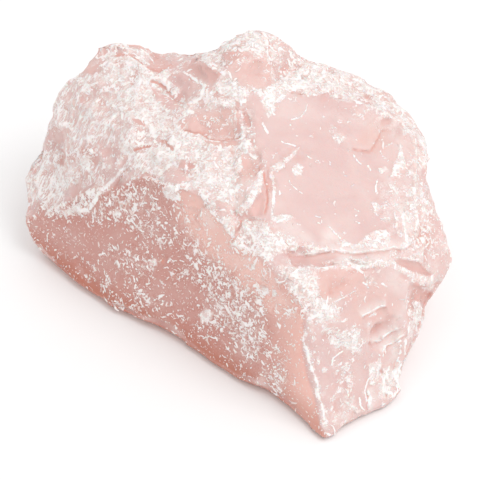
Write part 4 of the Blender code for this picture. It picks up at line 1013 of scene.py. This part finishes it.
# ---------------------------------------------------------------------------------------------------
# The crushed flakes. Thin splinters and chips of the same opal, crushed white, that still cling to the
# skin where it is bruised. They lie flat on it, turned either way from its split, their feet in the stone.

# The most flakes on a square millimetre, how long and thick they are, how much stouter than their outlines
# below, and how far they tip, and turn from the split, in radians.
MOST_PER_MM2 = 1.1
SHORTEST, LONGEST = 0.4, 2.2
THINNEST, THICKEST = 0.04, 0.09
STOUT = 1.3
TIPS, TURNS = 0.22, 1.3
# Each kind of chip, at most as long as 1, by its stations: (along it, off its middle line, half its width
# there).
CHIPS = {
    "splinter": [(-0.50, 0.00, 0.02), (-0.18, 0.02, 0.09), (0.22, -0.02, 0.08), (0.50, 0.01, 0.015)],
    "sliver": [(-0.50, 0.06, 0.03), (-0.15, -0.04, 0.06), (0.25, -0.05, 0.05), (0.50, 0.07, 0.02)],
    "crescent": [(-0.45, -0.16, 0.02), (-0.20, 0.08, 0.09), (0.18, 0.10, 0.08), (0.45, -0.18, 0.02)],
    "hook": [(-0.36, -0.22, 0.03), (-0.28, 0.12, 0.08), (0.08, 0.24, 0.08), (0.34, 0.04, 0.02)],
    "plate": [(-0.40, 0.06, 0.04), (-0.16, -0.05, 0.15), (0.18, 0.03, 0.09), (0.40, -0.04, 0.03)],
    "crumb": [(-0.22, 0.00, 0.05), (-0.08, 0.03, 0.11), (0.10, -0.02, 0.08), (0.22, 0.02, 0.04)],
}
# How high a chip stands at each station, and where its foot is, counted in its thickness.
CREST = (0.3, 1.0, 0.8, 0.2)
DEEP_FOOT = -2.5

chips = bpy.data.collections.new("opal_chips")
for name, stations in CHIPS.items():
    chip = bmesh.new()
    rings = []
    for (x, y, half), rise in zip(stations, CREST):
        ring = [(y + half * 1.15, DEEP_FOOT), (y + half * 0.7, rise), (y - half * 0.7, rise * 0.8),
                (y - half * 1.15, DEEP_FOOT)]
        rings.append([chip.verts.new((x, across, z)) for across, z in ring])
    for one, other in zip(rings, rings[1:]):
        for k in range(4):
            chip.faces.new((one[k], one[(k + 1) % 4], other[(k + 1) % 4], other[k]))
    chip.faces.new(rings[0])
    chip.faces.new(rings[-1])
    bmesh.ops.recalc_face_normals(chip, faces=chip.faces)
    mesh = bpy.data.meshes.new(name)
    chip.to_mesh(mesh)
    chip.free()
    chips.objects.link(bpy.data.objects.new(name, mesh))

# Crushed opal: full of tiny cracks, so white and dull, with a trace of the pink in some of the flakes.
WHITE_FLAKE = linear("#FAF6F4")
PINK_FLAKE = linear("#DFC2BA")
TINY_CRACKS_MM = 0.25
FLAKE_RELIEF_MM = 0.04
crushed_opal = bpy.data.materials.new("crushed_opal")
crushed_opal.use_nodes = True
tree = crushed_opal.node_tree
shader = tree.nodes["Principled BSDF"]
tint = add(tree, "ShaderNodeAttribute", out="Fac", attribute_name="tint")
place = add(tree, "ShaderNodeTexCoord", out="Object")
cracks = add(tree, "ShaderNodeTexNoise", {"Vector": place, "Scale": 1000 / TINY_CRACKS_MM, "Detail": 3.0})
mixed = add(tree, "ShaderNodeMath", {0: cracks, 1: 0.6, 2: tint}, operation="MULTIPLY_ADD")
mixed = add(tree, "ShaderNodeMapRange", {"Value": mixed, "From Min": 0.5, "From Max": 1.3})
mixed = add(tree, "ShaderNodeMix", {"Factor": mixed, "A": WHITE_FLAKE, "B": PINK_FLAKE}, out=2,
            data_type="RGBA")
tree.links.new(mixed, shader.inputs["Base Color"])
roughness = add(tree, "ShaderNodeMapRange", {"Value": cracks, "To Min": 0.45, "To Max": 0.75})
tree.links.new(roughness, shader.inputs["Roughness"])
bump = add(tree, "ShaderNodeBump", {"Distance": FLAKE_RELIEF_MM * MM, "Height": cracks})
tree.links.new(bump, shader.inputs["Normal"])
shader.inputs["IOR"].default_value = OPAL_IOR

scatter = bpy.data.node_groups.new("scatter_flakes", "GeometryNodeTree")
INPUTS = {
    "Geometry": "NodeSocketGeometry", "Chips": "NodeSocketCollection",
    "Most per square metre": "NodeSocketFloat", "Shortest": "NodeSocketFloat", "Longest": "NodeSocketFloat",
    "Thinnest": "NodeSocketFloat", "Thickest": "NodeSocketFloat", "Seed": "NodeSocketInt",
}
for name, kind in INPUTS.items():
    scatter.interface.new_socket(name, in_out="INPUT", socket_type=kind)
scatter.interface.new_socket("Geometry", in_out="OUTPUT", socket_type="NodeSocketGeometry")
given = add(scatter, "NodeGroupInput", out="Geometry").node.outputs
fullness = add(scatter, "GeometryNodeInputNamedAttribute", {"Name": "flakes"}, out="Attribute",
               data_type="FLOAT")
density = add(scatter, "ShaderNodeMath", {0: fullness, 1: given["Most per square metre"]},
              operation="MULTIPLY")
places = add(scatter, "GeometryNodeDistributePointsOnFaces",
             {"Mesh": given["Geometry"], "Density": density, "Seed": given["Seed"]}, out="Points")
run = add(scatter, "GeometryNodeInputNamedAttribute", {"Name": "split"}, out="Attribute",
          data_type="FLOAT_VECTOR")
lying = add(scatter, "FunctionNodeAlignRotationToVector",
            {"Rotation": places.node.outputs["Rotation"], "Vector": run}, axis="X", pivot_axis="Z")
stray = add(scatter, "FunctionNodeRandomValue", {"Min": (-TIPS, -TIPS, -TURNS), "Max": (TIPS, TIPS, TURNS),
                                                 "Seed": 1}, out="Value", data_type="FLOAT_VECTOR")
turned = add(scatter, "FunctionNodeEulerToRotation", {"Euler": stray})
lying = add(scatter, "FunctionNodeRotateRotation", {"Rotation": lying, "Rotate By": turned},
            rotation_space="LOCAL")
luck = add(scatter, "FunctionNodeRandomValue", {"Min": 0.0, "Max": 1.0, "Seed": 2}, out=1,
           data_type="FLOAT")
luck = add(scatter, "ShaderNodeMath", {0: luck, 1: 2.0}, operation="POWER")
long = add(scatter, "ShaderNodeMapRange", {"Value": luck, "To Min": given["Shortest"],
                                           "To Max": given["Longest"]})
thick = add(scatter, "FunctionNodeRandomValue", {"Min": given["Thinnest"], "Max": given["Thickest"],
                                                 "Seed": 3}, out=1, data_type="FLOAT")
wide = add(scatter, "ShaderNodeMath", {0: long, 1: STOUT}, operation="MULTIPLY")
scale = add(scatter, "ShaderNodeCombineXYZ", {"X": long, "Y": wide, "Z": thick})
kinds = add(scatter, "GeometryNodeCollectionInfo", {"Collection": given["Chips"], "Separate Children": True,
                                                    "Reset Children": True})
pick = add(scatter, "FunctionNodeRandomValue", {"Min": 0, "Max": len(CHIPS) - 1, "Seed": 4}, out=2,
           data_type="INT")
flung = add(scatter, "GeometryNodeInstanceOnPoints",
            {"Points": places, "Instance": kinds, "Pick Instance": True, "Instance Index": pick,
             "Rotation": lying, "Scale": scale})
shade = add(scatter, "FunctionNodeRandomValue", {"Min": 0.0, "Max": 1.0, "Seed": 5}, out=1,
            data_type="FLOAT")
flung = add(scatter, "GeometryNodeStoreNamedAttribute", {"Geometry": flung, "Name": "tint", "Value": shade},
            data_type="FLOAT", domain="INSTANCE")
real = add(scatter, "GeometryNodeRealizeInstances", {"Geometry": flung})
finished = add(scatter, "GeometryNodeSetMaterial", {"Geometry": real, "Material": crushed_opal})
scatter.links.new(finished, scatter.nodes.new("NodeGroupOutput").inputs["Geometry"])

# How full of flakes the skin is, from 0 to 1: fullest on the bruised parts of the long face, thin on the
# combed and the calm ones, and bare at the table.
smooth = np.clip(clean, 0, 1)
fullness = 0.02 + 0.08 * smooth + 0.6 * np.clip(bruise, 0, 1) ** 2.2
fullness = fullness * (1 + 2.4 * deep) * (1 - 0.8 * combed)
fullness *= (1 - 0.6 * np.clip(calm, 0, 1)) * (1 - 0.7 * chipped) * fade(points[:, 2], 1.2, 2.0)
fullness *= 1 + 1.5 * smooth * fade(bruise, 0.40, 0.65)
bed = skin.copy()
bed.attributes.new("flakes", "FLOAT", "POINT").data.foreach_set("value", np.clip(fullness, 0, 1))
flakes = bpy.data.objects.new("opal_flakes", bed)
bpy.context.scene.collection.objects.link(flakes)
modifier = flakes.modifiers.new("scatter", "NODES")
modifier.node_group = scatter
SCATTER_SEED = 11
VALUES = {
    "Chips": chips, "Most per square metre": MOST_PER_MM2 / MM**2, "Shortest": SHORTEST * MM,
    "Longest": LONGEST * MM, "Thinnest": THINNEST * MM, "Thickest": THICKEST * MM, "Seed": SCATTER_SEED,
}
for item in scatter.interface.items_tree:
    if item.in_out == "INPUT" and item.name in VALUES:
        modifier[item.identifier] = VALUES[item.name]
flakes.update_tag()
lain = bpy.data.meshes.new_from_object(flakes.evaluated_get(bpy.context.evaluated_depsgraph_get()))
flakes.modifiers.clear()
flakes.data = lain
lain.name = "opal_flakes"
for chip in list(chips.objects):
    bpy.data.objects.remove(chip)

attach(flakes, "root")

# ---------------------------------------------------------------------------------------------------
# The table and the light: a white sheet that runs well past the stone, a broad lamp from the upper
# right, and bright even light from all round.
TABLE_REACH = 1.5
TABLE_DROP = 0.0002
PAPER_WHITE = linear("#F9F9F9")
EVEN_LIGHT = 0.9
LAMP_WATTS = 2.0
LAMP_SIZE = 0.5
LAMP_AWAY = 0.8
TOWARD_LAMP = Vector((0.45, -0.2, 0.87)).normalized()

table_mesh = bpy.data.meshes.new("table")
corners = [(x * TABLE_REACH, y * TABLE_REACH, 0) for x, y in ((-1, -1), (1, -1), (1, 1), (-1, 1))]
table_mesh.from_pydata(corners, [], [(0, 1, 2, 3)])
table = bpy.data.objects.new("table", table_mesh)
table.location.z = -TABLE_DROP
bpy.context.scene.collection.objects.link(table)
# Matt white paper.
paper = bpy.data.materials.new("white_paper")
paper.use_nodes = True
shader = paper.node_tree.nodes["Principled BSDF"]
shader.inputs["Base Color"].default_value = PAPER_WHITE
shader.inputs["Roughness"].default_value = 0.9
table_mesh.materials.append(paper)
table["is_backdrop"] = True

world = bpy.data.worlds.new("even light")
bpy.context.scene.world = world
world.use_nodes = True
world.node_tree.nodes["Background"].inputs["Color"].default_value = (1, 1, 1, 1)
world.node_tree.nodes["Background"].inputs["Strength"].default_value = EVEN_LIGHT

lamp_data = bpy.data.lights.new("broad lamp", "AREA")
lamp_data.size = LAMP_SIZE
lamp_data.energy = LAMP_WATTS
lamp = bpy.data.objects.new("broad lamp", lamp_data)
lamp.location = TOWARD_LAMP * LAMP_AWAY
lamp.rotation_mode = "QUATERNION"
lamp.rotation_quaternion = TOWARD_LAMP.to_track_quat("Z", "Y")
bpy.context.scene.collection.objects.link(lamp)
bpy.context.scene.view_settings.view_transform = "Standard"

low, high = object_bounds()
